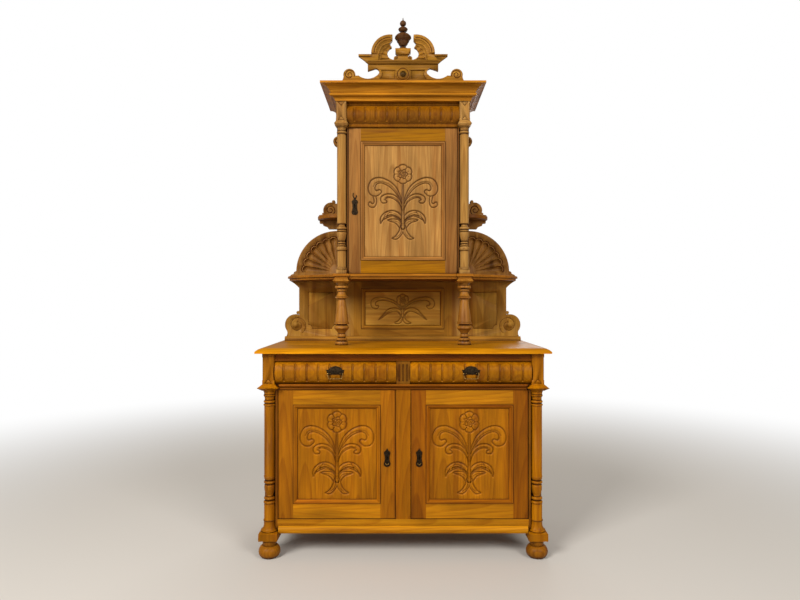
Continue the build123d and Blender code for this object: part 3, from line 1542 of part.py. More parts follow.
with BuildPart() as crest_flute_cutter:
    for number in range(crest_flutes):
        angle = radians(crest_first_angle + number * crest_pitch_angle)
        outward = (cos(angle), 0, sin(angle))
        hub = (crest_hub_x, crest_front - crest_flute_lift, cornice_top + crest_hub_height)
        flute_plane = Plane(origin=hub, x_dir=(0, 1, 0), z_dir=outward)
        with Locations(flute_plane.offset(crest_flute_start)):
            Cone(
                crest_flute_narrow, crest_flute_wide, crest_flute_reach,
                align=(Align.CENTER, Align.CENTER, Align.MIN),
            )
        with Locations(flute_plane.offset(crest_flute_start + crest_flute_reach)):
            Sphere(crest_flute_wide)

with BuildPart() as crest_board:
    with BuildSketch(crest_plane):
        # Foot, rising to the block in one long hollow
        with BuildLine():
            Polyline((0, 0), (crest_half, 0))
            ThreePointArc((crest_half, 0), (volute_foot[0] + 7, volute_foot[1] - 21), volute_foot)
            Line(volute_foot, hollow_outer)
            ThreePointArc(hollow_outer, hollow_bottom, hollow_inner)
            ThreePointArc(hollow_inner, hook_middle, hook_tip)
            Polyline(
                hook_tip, (crest_block_half, crest_block_bottom), (crest_block_half, crest_block_top),
                (0, crest_block_top), (0, 0),
            )
        make_face()
        with Locations((crest_volute_x, crest_volute_height)):
            Circle(crest_volute_radius)
        # Broken arch with its half shell
        with BuildLine():
            Polyline(
                (0, crest_block_top), (crest_block_half, crest_block_top),
                arch_point(crest_arch_radius, 0),
            )
            ThreePointArc(
                arch_point(crest_arch_radius, 0), arch_point(crest_arch_radius, arch_end_angle / 2),
                arch_point(crest_arch_radius, arch_end_angle),
            )
            Polyline(
                arch_point(crest_arch_radius, arch_end_angle), (crest_break_half, shell_lip[1] + 30),
                arch_point(arch_inner, 88), shell_lip,
            )
            ThreePointArc(shell_lip, gap_outer, gap_foot)
            Polyline(gap_foot, (0, gap_foot[1]), (0, crest_block_top))
        make_face()
        # Pedestal for the finial, with its small volutes
        with Locations((pedestal_neck / 2, (crest_block_top + pedestal_top - pedestal_cap) / 2)):
            Rectangle(pedestal_neck, pedestal_top - pedestal_cap - crest_block_top)
        with Locations((pedestal_volute_x, pedestal_volute_height)):
            Circle(pedestal_volute_radius)
    extrude(amount=-crest_thickness)
    add(crest_flute_cutter.part, mode=Mode.SUBTRACT)
    # Sunk panel with hollow sides, beside the round lobe
    with BuildSketch(crest_plane):
        with BuildLine():
            Line((36, 22), (100, 22))
            ThreePointArc((100, 22), (88, 40), (93, 58))
            Line((93, 58), (33, 58))
            ThreePointArc((33, 58), (38, 40), (36, 22))
        make_face()
    extrude(amount=-panel_sink, mode=Mode.SUBTRACT)
    # Moulding planted on the board: band over the block, then the shoulder
    with BuildSketch(crest_plane):
        with BuildLine():
            Polyline(
                (0, crest_block_top), (crest_block_half, crest_block_top),
                (crest_block_half + 16, crest_block_top + 14), (crest_mould_half - 2, shoulder_top - 9),
                (crest_mould_half, shoulder_top - 8), (crest_mould_half, shoulder_top),
                (crest_arch_x + crest_arch_radius, shoulder_top), arch_point(crest_arch_radius, 1),
                arch_point(arch_inner, 1), (crest_arch_x + arch_inner + 6, band_top), (0, band_top),
                close=True,
            )
        make_face()
    extrude(amount=crest_mould_depth * 0.6)
    with BuildSketch(crest_plane):
        with Locations(((crest_arch_x + crest_arch_radius + crest_mould_half) / 2, shoulder_top - 4)):
            Rectangle(crest_mould_half - crest_arch_x - crest_arch_radius, 8)
        with Locations((crest_block_half / 2, band_top - 2)):
            Rectangle(crest_block_half, 4)
    extrude(amount=crest_mould_depth)
    # Moulding of the arch: a hollow, a round and a broad fillet, turned about the arch's centre
    with BuildSketch(Plane(origin=(crest_arch_x, crest_front, cornice_top + crest_arch_height),
                           x_dir=(1, 0, 0), z_dir=(0, 0, 1))):
        with BuildLine():
            Polyline((arch_inner, 1), (arch_inner, -5))
            ThreePointArc((arch_inner, -5), (arch_inner + 5, -6), (arch_inner + 8, -9))
            Line((arch_inner + 8, -9), (arch_inner + 12, -9))
            ThreePointArc(
                (arch_inner + 12, -9), (arch_inner + 14, -12.5), (arch_inner + 18, -crest_mould_depth)
            )
            Polyline(
                (arch_inner + 18, -crest_mould_depth), (crest_arch_radius, -crest_mould_depth),
                (crest_arch_radius, 1), (arch_inner, 1),
            )
        make_face()
    revolve(
        axis=Axis((crest_arch_x, crest_front, cornice_top + crest_arch_height), (0, -1, 0)),
        revolution_arc=arch_end_angle,
    )
    # Slanting end of the band over the shell's lip
    with BuildSketch(crest_plane.offset(crest_mould_depth + 1)):
        with BuildLine():
            Polyline(
                (crest_break_half, shell_lip[1] + 30), arch_point(arch_inner, 88), (
                    shell_lip[0] - 3, shell_lip[1] + 3,
                ),
                (crest_break_half - 10, shell_lip[1] + 30), close=True,
            )
        make_face()
    extrude(amount=-(crest_mould_depth + crest_thickness + 2), mode=Mode.SUBTRACT)
    mirror(about=Plane.YZ)
    # Round lobe and its boss
    with BuildSketch(crest_plane):
        with Locations((0, lobe_height)):
            Circle(lobe_radius)
    extrude(amount=3)
    with Locations(Location((0, crest_front - 2, cornice_top + lobe_height), (90, 0, 0))):
        Cone(boss_radius, boss_radius * 0.5, 7, align=(Align.CENTER, Align.CENTER, Align.MIN))
    # Pedestal's cap, as deep as the finial needs, spreading from its neck
    with BuildSketch(Plane(origin=(0, crest_front + crest_thickness / 2, cornice_top),
                           x_dir=(1, 0, 0), z_dir=(0, -1, 0))):
        with BuildLine():
            Polyline(
                (pedestal_half, pedestal_top), (pedestal_half, pedestal_top - 10),
                (pedestal_half - 3, pedestal_top - 14), (pedestal_neck, pedestal_top - pedestal_cap),
                (-pedestal_neck, pedestal_top - pedestal_cap), (3 - pedestal_half, pedestal_top - 14),
                (-pedestal_half, pedestal_top - 10), (-pedestal_half, pedestal_top), close=True,
            )
        make_face()
    extrude(amount=pedestal_depth / 2, both=True)
save(crest_board.part, "crest_board")

finial_elements = [
    (11.0, 20.5, 10.0, 3.0),
    (5.0, 7.0, 7.0, 0),
    (19.0, 13.0, 23.5, 1.5),
    (4.0, 25.5, 25.5, 1.0),
    (12.0, 25.0, 35.0, 1.0),
    (6.0, 35.5, 34.0, 0),
    (10.0, 33.0, 22.0, 2.0),
    (5.0, 20.0, 8.0, 1.0),
    (5.0, 6.5, 6.5, 0),
    (12.0, 12.0, 20.5, 1.5),
    (8.0, 20.5, 11.0, 2.0),
    (5.0, 4.0, 4.0, 0),
    (24.0, 5.0, 4.0, 9.0),
    (12.0, 3.5, 1.5, -0.5),
]
with BuildPart() as finial:
    turn(finial_elements, 0, crest_front + crest_thickness / 2, cornice_top + pedestal_top)
save(finial.part, "finial")
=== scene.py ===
from math import cos, pi, radians, sin

import bpy
import numpy as np
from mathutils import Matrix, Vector


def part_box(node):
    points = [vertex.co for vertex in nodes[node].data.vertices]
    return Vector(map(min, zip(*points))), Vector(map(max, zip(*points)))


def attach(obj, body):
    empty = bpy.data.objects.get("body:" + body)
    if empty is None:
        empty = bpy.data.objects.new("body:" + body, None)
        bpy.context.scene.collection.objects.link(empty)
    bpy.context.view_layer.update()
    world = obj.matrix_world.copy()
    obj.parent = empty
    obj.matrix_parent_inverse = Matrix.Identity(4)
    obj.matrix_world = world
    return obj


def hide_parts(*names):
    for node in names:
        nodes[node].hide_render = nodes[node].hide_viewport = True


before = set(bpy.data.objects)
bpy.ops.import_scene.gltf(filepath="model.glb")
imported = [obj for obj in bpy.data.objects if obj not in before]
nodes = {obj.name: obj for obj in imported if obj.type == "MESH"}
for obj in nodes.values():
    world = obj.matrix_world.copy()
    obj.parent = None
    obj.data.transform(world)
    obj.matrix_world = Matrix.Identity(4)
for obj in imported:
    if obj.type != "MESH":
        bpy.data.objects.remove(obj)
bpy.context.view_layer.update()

# ---------------------------------------------------------------- room
# A pale floor that fades to white, a level camera at eye height, and soft light
# from a wide panel on each side of the camera and a fainter one behind.

MM = 0.001
EYE = (-13 * MM, -2680 * MM, 1055 * MM)
SENSOR_WIDTH = 36.0
FOCAL_PIXELS = 601.0
PICTURE_WIDTH = 800.0
VIEW_REACH = 60.0
FLOOR_RADIUS = 14.0
FADE_FROM = 1.4                 # where the floor starts to fade to white
FADE_TO = 4.5
ROOM_LIGHT = 0.27
LAMPS = (                       # name, place, the point it faces, size and watts
    ("lamp_front_left", (-2.7, -3.7, 3.3), (0, 0, 0.9), 1.8, 205),
    ("lamp_front_right", (2.6, -3.9, 2.9), (0, 0, 0.9), 1.8, 108),
    ("lamp_back", (0.5, 3.4, 2.6), (0, 0, 1.0), 2.2, 45))


def linear(hex_colour, shade=(1.0, 1.0, 1.0)):
    """An sRGB hex value as a linear colour with alpha, darkened by a shade for each channel."""
    out = []
    for start, share in zip((1, 3, 5), shade):
        part = int(hex_colour[start:start + 2], 16) / 255
        value = part / 12.92 if part <= 0.04045 else ((part + 0.055) / 1.055) ** 2.4
        out.append(value * share)
    return (*out, 1.0)


def add(tree, kind, inputs=None, output=0, **settings):
    """Add a shader node with its settings, fill its inputs with values or links, and give one output."""
    made = tree.nodes.new("ShaderNode" + kind)
    for key, value in settings.items():
        setattr(made, key, value)
    for key, value in (inputs or {}).items():
        if isinstance(value, bpy.types.NodeSocket):
            tree.links.new(value, made.inputs[key])
        else:
            made.inputs[key].default_value = value
    return made.outputs[output]


def blank_material(name):
    """A new material with an empty tree, and the socket that takes its surface."""
    material = bpy.data.materials.new(name)
    material.use_nodes = True
    tree = material.node_tree
    tree.nodes.clear()
    return material, tree, tree.nodes.new("ShaderNodeOutputMaterial").inputs["Surface"]


bpy.ops.object.camera_add(location=EYE, rotation=(pi / 2, 0, 0))
camera = bpy.context.object
camera.data.sensor_width = SENSOR_WIDTH
camera.data.lens = SENSOR_WIDTH * FOCAL_PIXELS / PICTURE_WIDTH
camera.data.clip_end = VIEW_REACH
bpy.context.scene.camera = camera
bpy.context.scene.view_settings.view_transform = "Standard"

bpy.ops.mesh.primitive_circle_add(vertices=96, radius=FLOOR_RADIUS, fill_type="NGON", location=(0, 0, 0))
floor = bpy.context.object
floor.name = "studio_floor"
material, tree, surface = blank_material("pale_floor_paint")
where = add(tree, "TexCoord", output="Object")
distance = add(tree, "VectorMath", {0: where}, "Value", operation="LENGTH")
fade = add(tree, "MapRange", {"Value": distance, "From Min": FADE_FROM, "From Max": FADE_TO},
           interpolation_type="SMOOTHSTEP")
paint = add(tree, "BsdfDiffuse", {"Color": linear("#D9D2C8")})
white = add(tree, "Emission", {"Color": (1, 1, 1, 1), "Strength": 1.0})
rays = add(tree, "LightPath").node.outputs
seen = add(tree, "Math", {0: rays["Is Camera Ray"], 1: rays["Is Glossy Ray"]}, operation="MAXIMUM")
share = add(tree, "Math", {0: seen, 1: fade}, operation="MULTIPLY")
tree.links.new(add(tree, "MixShader", {0: share, 1: paint, 2: white}), surface)
floor.data.materials.append(material)

world = bpy.data.worlds.new("studio")
bpy.context.scene.world = world
world.use_nodes = True
tree = world.node_tree
tree.nodes.clear()
rays = add(tree, "LightPath").node.outputs
seen = add(tree, "Math", {0: rays["Is Camera Ray"], 1: rays["Is Transmission Ray"]}, operation="ADD")
dim = add(tree, "Background", {"Color": (1, 0.98, 0.95, 1), "Strength": ROOM_LIGHT})
bright = add(tree, "Background", {"Color": (1, 1, 1, 1), "Strength": 1.0})
surface = tree.nodes.new("ShaderNodeOutputWorld").inputs["Surface"]
tree.links.new(add(tree, "MixShader", {0: seen, 1: dim, 2: bright}), surface)

for name, place, aim, size, watts in LAMPS:
    bpy.ops.object.light_add(type="AREA", location=place)
    lamp = bpy.context.object
    lamp.name = name
    lamp.data.size = size
    lamp.data.energy = watts
    lamp.rotation_euler = (Vector(aim) - Vector(place)).to_track_quat("-Z", "Y").to_euler()

# ---------------------------------------------------------------- top board
# A thick board of plain-sawn pine with a moulded edge, waxed honey yellow. Its
# wood is the same as that of the whole piece: straight rings and fibres, reddish
# resin streaks, a few knots, and old wax that has gone dark in the hollows, with
# painted shade there too. Faces turned up are painted lighter and those turned
# down darker, as light from above.

ALONG = {"X": ("Z", "Y", "X"), "Y": ("X", "Z", "Y"), "Z": ("X", "Y", "Z")}
SEED_STEPS = ((0.731, 1.9), (0.037, 0.05), (1.117, 2.3))     # how far a seed moves the figure, and its span
COLOUR_A, COLOUR_B, COLOUR_MIXED = 6, 7, 2                   # sockets of a Mix node

BOARD_WIDTH = 115.0 * MM
PITH_DEPTH = 90.0 * MM          # how much boards differ in distance from the middle of their tree
NEAREST_PITH = 27.0 * MM
RING_SPACING = 8.0 * MM         # real rings are 2 to 4 mm, drawn coarser so that they show
RING_PROFILE = ((0.45, 0.18), (0.82, 0.75), (0.93, 1.0))     # place in the year's ring, and how dark
LEAN = 0.035                    # slope of the rings along the board
SWAY = 50.0 * MM                # how far the rings wander
SWAY_SCALE = 8.0
STRETCH = 0.04                  # how slowly the figure changes along the grain
LATE_SHARE = 0.5
LATE_WOOD = (0.58, 0.44, 0.3)   # share of the early wood's colour
RESIN = (0.5, 0.34, 0.2)
RESIN_FROM, RESIN_TO, RESIN_SHARE = 0.46, 0.74, 0.75
STREAK_WIDTH = 30.0 * MM
BAND_WIDTH = 7.0 * MM
FIBRE_WIDTH = 1.6 * MM          # real fibres are too fine to show
PATCH_SCALE = 13.0
PATCH_STRETCH = 0.3
BOARD_TONE = (0.0, 1.0, 0.9, 1.08)      # from, to, darkest and brightest
BAND_TONE = (0.0, 1.0, 0.74, 1.26)
FIBRE_TONE = (0.0, 1.0, 0.82, 1.16)
PATCH_TONE = (0.25, 0.75, 0.74, 1.26)
KNOT_SPACING = 270.0 * MM
KNOT_STRETCH = 0.55
KNOT_CORE, KNOT_EDGE = 0.03, 0.07       # shares of the spacing
KNOT = "#3E1804"

HOLLOW_REACH = 18.0 * MM
# Hollows less open to the air get more old wax and painted shade, in this colour
OPEN_HOLLOW, SHUT_HOLLOW = 0.9, 0.3         # how open a hollow is to the air
WAX_AND_SHADE = "#371602"
FIBRE_ROUGHNESS = (-0.07, 0.1)
RING_RELIEF = 0.5
GRAIN_DEPTH = 0.4 * MM
GRAIN_STRENGTH = 0.25
WAX_IOR = 1.5


def grain_vector(tree, along, seed):
    """Object coordinates turned so that the third runs along the grain, shifted by the seed."""
    where = add(tree, "TexCoord", output="Object")
    parts = add(tree, "SeparateXYZ", {0: where}).node.outputs
    across, deep, long = ALONG[along]
    turned = add(tree, "CombineXYZ", {"X": parts[across], "Y": parts[deep], "Z": parts[long]})
    shift = [seed * step % span for step, span in SEED_STEPS]
    return add(tree, "VectorMath", {0: turned, 1: shift}, operation="ADD")


def year_rings(tree, vector):
    """How late in its year the wood grew, on boards side by side, and a chance for each board."""
    across, deep, long = add(tree, "SeparateXYZ", {0: vector}).node.outputs
    slow = add(tree, "VectorMath", {0: vector, 1: (1, 1, 2 * STRETCH)}, operation="MULTIPLY")
    drift = add(tree, "TexNoise", {"Vector": slow, "Scale": SWAY_SCALE, "Detail": 2.0, "Roughness": 0.5})
    sway = add(tree, "Math", {0: drift, 1: SWAY, 2: -SWAY / 2}, operation="MULTIPLY_ADD")
    board = add(tree, "Math", {0: across, 1: BOARD_WIDTH}, operation="DIVIDE")
    board = add(tree, "Math", {0: board}, operation="FLOOR")
    chance = add(tree, "TexWhiteNoise", {"W": board}, noise_dimensions="1D")
    middle = add(tree, "Math", {0: board, 1: BOARD_WIDTH, 2: BOARD_WIDTH / 2}, operation="MULTIPLY_ADD")
    aside = add(tree, "Math", {0: across, 1: middle}, operation="SUBTRACT")
    aside = add(tree, "Math", {0: aside, 1: sway}, operation="ADD")
    depth = add(tree, "Math", {0: chance, 1: PITH_DEPTH, 2: NEAREST_PITH}, operation="MULTIPLY_ADD")
    depth = add(tree, "Math", {0: depth, 1: deep}, operation="ADD")
    from_pith = add(tree, "CombineXYZ", {"X": aside, "Y": depth, "Z": 0.0})
    radius = add(tree, "VectorMath", {0: from_pith}, "Value", operation="LENGTH")
    lean = add(tree, "Math", {0: long, 1: LEAN}, operation="MULTIPLY")
    radius = add(tree, "Math", {0: radius, 1: lean}, operation="ADD")
    rings = add(tree, "Math", {0: radius, 1: RING_SPACING}, operation="DIVIDE")
    ring = add(tree, "Math", {0: rings}, operation="FRACT")
    late = add(tree, "ValToRGB", {"Fac": ring})
    stops = late.node.color_ramp.elements
    stops[0].color = (0, 0, 0, 1)
    stops[1].color = (0, 0, 0, 1)
    for place, level in RING_PROFILE:
        stops.new(place).color = (level, level, level, 1)
    return late, chance


def wood_tone(tree, vector, long_way, chance, fibre, painted_top_light):
    """How bright the wood is, by board, band, fibre and patch of thick wax, with painted light from above
    that makes faces turned up lighter and faces turned down darker.
    """
    bands = add(tree, "TexNoise", {"Vector": long_way, "Scale": 1 / BAND_WIDTH, "Detail": 1.0})
    tall = add(tree, "VectorMath", {0: vector, 1: (1, 1, PATCH_STRETCH)}, operation="MULTIPLY")
    patch = add(tree, "TexNoise", {"Vector": tall, "Scale": PATCH_SCALE, "Detail": 2.0})
    tone = 1.0
    for figure, (start, end, darkest, brightest) in (
            (chance, BOARD_TONE), (bands, BAND_TONE), (fibre, FIBRE_TONE), (patch, PATCH_TONE)):
        part = add(tree, "MapRange", {
            "Value": figure, "From Min": start, "From Max": end, "To Min": darkest, "To Max": brightest})
        tone = add(tree, "Math", {0: tone, 1: part}, operation="MULTIPLY")
    # Painted light from above: faces turned up are lighter, and those turned down are darker
    normal = add(tree, "NewGeometry", output="Normal")
    rise = add(tree, "SeparateXYZ", {0: normal}, "Z")
    top_lit = add(tree, "Math", {0: rise, 1: painted_top_light, 2: 1.0}, operation="MULTIPLY_ADD")
    return add(tree, "Math", {0: tone, 1: top_lit}, operation="MULTIPLY")


def wax_and_shade_in_hollows(tree, dirt_and_shade, quirks, flutes, necks, gouged):
    """How much old wax and dust, with painted shade, lies in corners, quirks, flutes, turned necks and
    carved lines.
    """
    hollow = add(tree, "AmbientOcclusion", {"Distance": HOLLOW_REACH}, "AO", samples=6)
    hollow = add(tree, "MapRange", {
        "Value": hollow, "From Min": SHUT_HOLLOW, "From Max": OPEN_HOLLOW, "To Min": dirt_and_shade, "To Max": 0.0},
        interpolation_type="SMOOTHSTEP")
    if quirks is not None:
        hollow = add(tree, "Math", {0: hollow, 1: quirks}, operation="MAXIMUM")
    if flutes:
        hollow = add(tree, "Math", {0: flute_shadow(tree, flutes), 1: FLUTE_DARKNESS, 2: hollow},
                     operation="MULTIPLY_ADD", use_clamp=True)
    if necks:
        hollow = add(tree, "Math", {0: neck_shadow(tree, necks), 1: NECK_DARKNESS, 2: hollow},
                     operation="MULTIPLY_ADD", use_clamp=True)
    # Old wax and painted shade in the carved lines, darker where the cut is deeper
    if gouged:
        gouge = add(tree, "Attribute", output="Fac", attribute_name="gouge")
        gouge = add(tree, "MapRange", {
            "Value": gouge, "From Min": FAINT_CUT, "From Max": FULL_CUT, "To Max": gouged},
            interpolation_type="SMOOTHSTEP")
        hollow = add(tree, "Math", {0: hollow, 1: gouge}, operation="MAXIMUM")
    return hollow


def pine(name, colour, along="Z", seed=1.0, opening=None, rails=None, flutes=None, necks=None, gouged=0.0,
         knots=0.35, roughness=0.42, dirt_and_shade=0.8, painted_top_light=0.32, shine=0.1):
    """Pine whose early wood has this colour, and whose rails may have another.

    Wax rubbed into open grain gives a soft and slightly uneven shine.
    """
    material, tree, surface = blank_material(name)
    if opening:
        vector, on_rail, quirks, moulded = frame_vector(tree, opening, seed)
    else:
        vector, quirks = grain_vector(tree, along, seed), None
    long_way = add(tree, "VectorMath", {0: vector, 1: (1, 1, STRETCH)}, operation="MULTIPLY")
    late, chance = year_rings(tree, vector)
    late_share = add(tree, "Math", {0: late, 1: LATE_SHARE}, operation="MULTIPLY")
    wood = add(tree, "Mix", {
        0: late_share, COLOUR_A: linear(colour), COLOUR_B: linear(colour, LATE_WOOD)}, COLOUR_MIXED,
        data_type="RGBA")
    if rails:
        other = add(tree, "Mix", {
            0: late_share, COLOUR_A: linear(rails), COLOUR_B: linear(rails, LATE_WOOD)}, COLOUR_MIXED,
            data_type="RGBA")
        wood = add(tree, "Mix", {0: on_rail, COLOUR_A: wood, COLOUR_B: other}, COLOUR_MIXED,
                   data_type="RGBA")
    # Resin streaks along the grain, broad and narrow
    resin = add(tree, "TexNoise", {
        "Vector": long_way, "Scale": 1 / STREAK_WIDTH, "Detail": 4.0, "Roughness": 0.6})
    resin = add(tree, "MapRange", {
        "Value": resin, "From Min": RESIN_FROM, "From Max": RESIN_TO, "To Max": RESIN_SHARE},
        interpolation_type="SMOOTHSTEP")
    wood = add(tree, "Mix", {0: resin, COLOUR_A: wood, COLOUR_B: linear(colour, RESIN)}, COLOUR_MIXED,
               data_type="RGBA")
    # Knots: dark cells, longer along the grain
    stretched = add(tree, "VectorMath", {0: vector, 1: (1, 1, KNOT_STRETCH)}, operation="MULTIPLY")
    cell = add(tree, "TexVoronoi", {"Vector": stretched, "Scale": 1 / KNOT_SPACING, "Randomness": 1.0})
    knot = add(tree, "MapRange", {
        "Value": cell, "From Min": KNOT_CORE, "From Max": KNOT_EDGE, "To Min": 2 * knots, "To Max": 0.0},
        interpolation_type="SMOOTHSTEP")
    wood = add(tree, "Mix", {0: knot, COLOUR_A: wood, COLOUR_B: linear(KNOT)}, COLOUR_MIXED,
               data_type="RGBA", clamp_factor=True)
    fibre = add(tree, "TexNoise", {
        "Vector": long_way, "Scale": 1 / FIBRE_WIDTH, "Detail": 2.0, "Roughness": 0.6})
    tone = wood_tone(tree, vector, long_way, chance, fibre, painted_top_light)
    if opening:
        # Painted highlight on the moulding
        highlit = add(tree, "Math", {0: moulded, 1: RIDGE_HIGHLIGHT, 2: 1.0}, operation="MULTIPLY_ADD")
        tone = add(tree, "Math", {0: tone, 1: highlit}, operation="MULTIPLY")
    wood = add(tree, "VectorMath", {0: wood, "Scale": tone}, operation="SCALE")
    # Old wax and painted shade in hollows, quirks, flutes, necks and cuts
    hollow = wax_and_shade_in_hollows(tree, dirt_and_shade, quirks, flutes, necks, gouged)
    wood = add(tree, "Mix", {0: hollow, COLOUR_A: wood, COLOUR_B: linear(WAX_AND_SHADE)}, COLOUR_MIXED,
               data_type="RGBA")
    smoother, rougher = FIBRE_ROUGHNESS
    rough = add(tree, "MapRange", {
        "Value": fibre, "To Min": roughness + smoother, "To Max": roughness + rougher})
    relief = add(tree, "Math", {0: late, 1: RING_RELIEF, 2: fibre}, operation="MULTIPLY_ADD")
    bump = add(tree, "Bump", {"Strength": GRAIN_STRENGTH, "Distance": GRAIN_DEPTH, "Height": relief})
    shader = add(tree, "BsdfPrincipled", {
        "Base Color": wood, "Roughness": rough, "Normal": bump, "IOR": WAX_IOR, "Specular IOR Level": shine})
    tree.links.new(shader, surface)
    return material


def dress(material, *names):
    """Give a CAD node's material slots this material."""
    for name in names:
        mesh = nodes[name].data
        if not mesh.materials:
            mesh.materials.append(material)
        for number in range(len(mesh.materials)):
            mesh.materials[number] = material


dress(pine("waxed_pine_top_board", "#D48A06", "X", 2.3, roughness=0.34, painted_top_light=-0.12), "base_top_board")

# ---------------------------------------------------------------- corner posts and feet
# Each post is turned from one square of pine, with a pointed cap and a square block
# over it. The block has a chip-carved triangle at its foot. The feet are turned
# buns in front and plain blocks behind, doweled into the posts and sides.

POST_X = 550.0
POST_FRONT = -230.0
BLOCK_FOOT = 711.0
POST_CHIP = (4.0, 15.0, 17.0)   # rise over the block's foot, half width and height
LEG_FOOT = 108.0
LEG_NECKS = ((43.5, 3.0), (126, 2.0), (142, 2.0), (191.5, 2.5), (207.5, 2.5), (513, 0.8), (523, 2.0),
             (537, 2.0), (553, 0.8), (559.5, 1.5))
GROOVE = 1.5                    # radius of the gouge for incised lines
MERGE_WITHIN = 0.02 * MM
BOARD_CREASE = radians(35)
NECK_DARKNESS = 0.62
NECK_FADE = 1.2
CORE = 0.4                      # share of a flute's or neck's half width that is fully dark


def neck_shadow(tree, necks):
    """1 in the necks between turned beads, from their heights and half heights in mm."""
    where = add(tree, "TexCoord", output="Object")
    height = add(tree, "SeparateXYZ", {0: where}, "Z")
    shadow = 0.0
    for middle, half in necks:
        away = add(tree, "Math", {0: height, 1: middle * MM}, operation="SUBTRACT")
        away = add(tree, "Math", {0: away}, operation="ABSOLUTE")
        line = add(tree, "MapRange", {
            "Value": away, "From Min": CORE * half * MM, "From Max": (half + NECK_FADE) * MM,
            "To Min": 1.0, "To Max": 0.0}, interpolation_type="SMOOTHSTEP")
        shadow = add(tree, "Math", {0: shadow, 1: line}, operation="MAXIMUM")
    return shadow


def round_bars(name, runs, radius):
    """A mesh of round bars along runs of points in metres. A run that ends where it starts is closed."""
    curve = bpy.data.curves.new(name, "CURVE")
    curve.dimensions = "3D"
    curve.bevel_depth = radius
    curve.bevel_resolution = 2
    curve.use_fill_caps = True
    for run in runs:
        closed = run[0] == run[-1]
        points = run[:-1] if closed else run
        spline = curve.splines.new("POLY")
        spline.points.add(len(points) - 1)
        for point, place in zip(spline.points, points):
            point.co = (*place, 1)
        spline.use_cyclic_u = closed
    bars = bpy.data.objects.new(name, curve)
    bpy.context.collection.objects.link(bars)
    bpy.ops.object.select_all(action="DESELECT")
    bars.select_set(True)
    bpy.context.view_layer.objects.active = bars
    bpy.ops.object.convert(target="MESH")
    return bars


def engrave(node, faces, radius, material):
    """Cut round-bottomed lines into a fixed board's face, in a copy that stands for its node.

    faces gives, for each plane's y in mm, its lines as lists of x and z. The cuts hold old wax, and their
    dark colour is painted shade as well.
    """
    runs = [[(x * MM, y * MM, z * MM) for x, z in run] for y, lines in faces.items() for run in lines]
    cutter = round_bars("cutter", runs, radius * MM)
    cutter.data.materials.append(wax_and_shade_in_cuts)
    piece = bpy.data.objects.new("carved_" + node, nodes[node].data.copy())
    bpy.context.collection.objects.link(piece)
    bpy.ops.object.select_all(action="DESELECT")
    piece.select_set(True)
    bpy.context.view_layer.objects.active = piece
    piece.data.materials.clear()
    piece.data.materials.append(material)
    bpy.ops.object.mode_set(mode="EDIT")
    bpy.ops.mesh.select_all(action="SELECT")
    bpy.ops.mesh.remove_doubles(threshold=MERGE_WITHIN)
    bpy.ops.object.mode_set(mode="OBJECT")
    cut = piece.modifiers.new("cut", "BOOLEAN")
    cut.operation = "DIFFERENCE"
    cut.solver = "EXACT"
    cut.material_mode = "TRANSFER"
    cut.object = cutter
    whole = len(piece.data.polygons)
    bpy.ops.object.modifier_apply(modifier=cut.name)
    if len(piece.data.polygons) < whole:
        raise RuntimeError("the cut failed on " + node)
    bpy.data.objects.remove(cutter)
    bpy.ops.object.shade_smooth_by_angle(angle=BOARD_CREASE)
    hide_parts(node)
    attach(piece, "cabinet")


def triangle(x, foot, chip):
    """A chip-carved triangle with its point up over a block's foot, closed."""
    rise, half, height = chip
    low = foot + rise
    return [(x - half, low), (x, low + height), (x + half, low), (x - half, low)]


# Dark colour for the faces of incised cuts: old wax and painted shade
wax_and_shade_in_cuts = pine("wax_and_painted_shade_in_cuts", "#5A2A08", knots=0.0, roughness=0.6)
leg_necks = [(LEG_FOOT + middle, half) for middle, half in LEG_NECKS]
for side, sign in (("left", -1), ("right", 1)):
    node = "front_post_" + side
    engrave(node, {POST_FRONT: [triangle(sign * POST_X, BLOCK_FOOT, POST_CHIP)]}, GROOVE,
            pine("waxed_pine_" + node, "#9C6002", "Z", 5.1 + sign, knots=0.2, dirt_and_shade=0.9, necks=leg_necks))
dress(pine("waxed_pine_feet", "#8C560C", "Z", 6.4, knots=0.1), "bun_feet", "rear_feet")

# ---------------------------------------------------------------- carcass of the base
# Sides, back, centre stile and rails, joined with mortises and glue. Upright
# parts have upright grain, and rails and mouldings have it along their length.

dress(pine("waxed_pine_sides", "#865208", "Z", 7.7), "base_side_left", "base_side_right", "base_back")
dress(pine("waxed_pine_centre_stile", "#9E5E02", "Z", 3.1), "centre_stile")
dress(pine("waxed_pine_frieze_rail", "#7E4400", "X", 8.2), "frieze_rail")
dress(pine("waxed_pine_waist", "#8E5006", "X", 6.9), "waist_moulding")
dress(pine("waxed_pine_drawer_divider", "#80500C", "Z", 3.3), "drawer_bearer")
dress(pine("waxed_pine_bottom_rail", "#B6780C", "X", 9.4), "bottom_rail")
dress(pine("waxed_pine_inside", "#8C5A22", "X", 3.9), "base_floor", "base_shelf")

# ---------------------------------------------------------------- drawers
# Fronts cut from thick pine with a swelling face and a row of gouged flutes, on
# plain dovetailed boxes. Each has a cast bronze plate with a fan and a brass bail.

DRAWER_FLUTES = (725.5 * MM, 789.5 * MM)
FLUTE_PITCH = 47.0 * MM
FLUTE_HALF = 6.2 * MM
FLUTES = 10
FLUTE_DARKNESS = 0.32


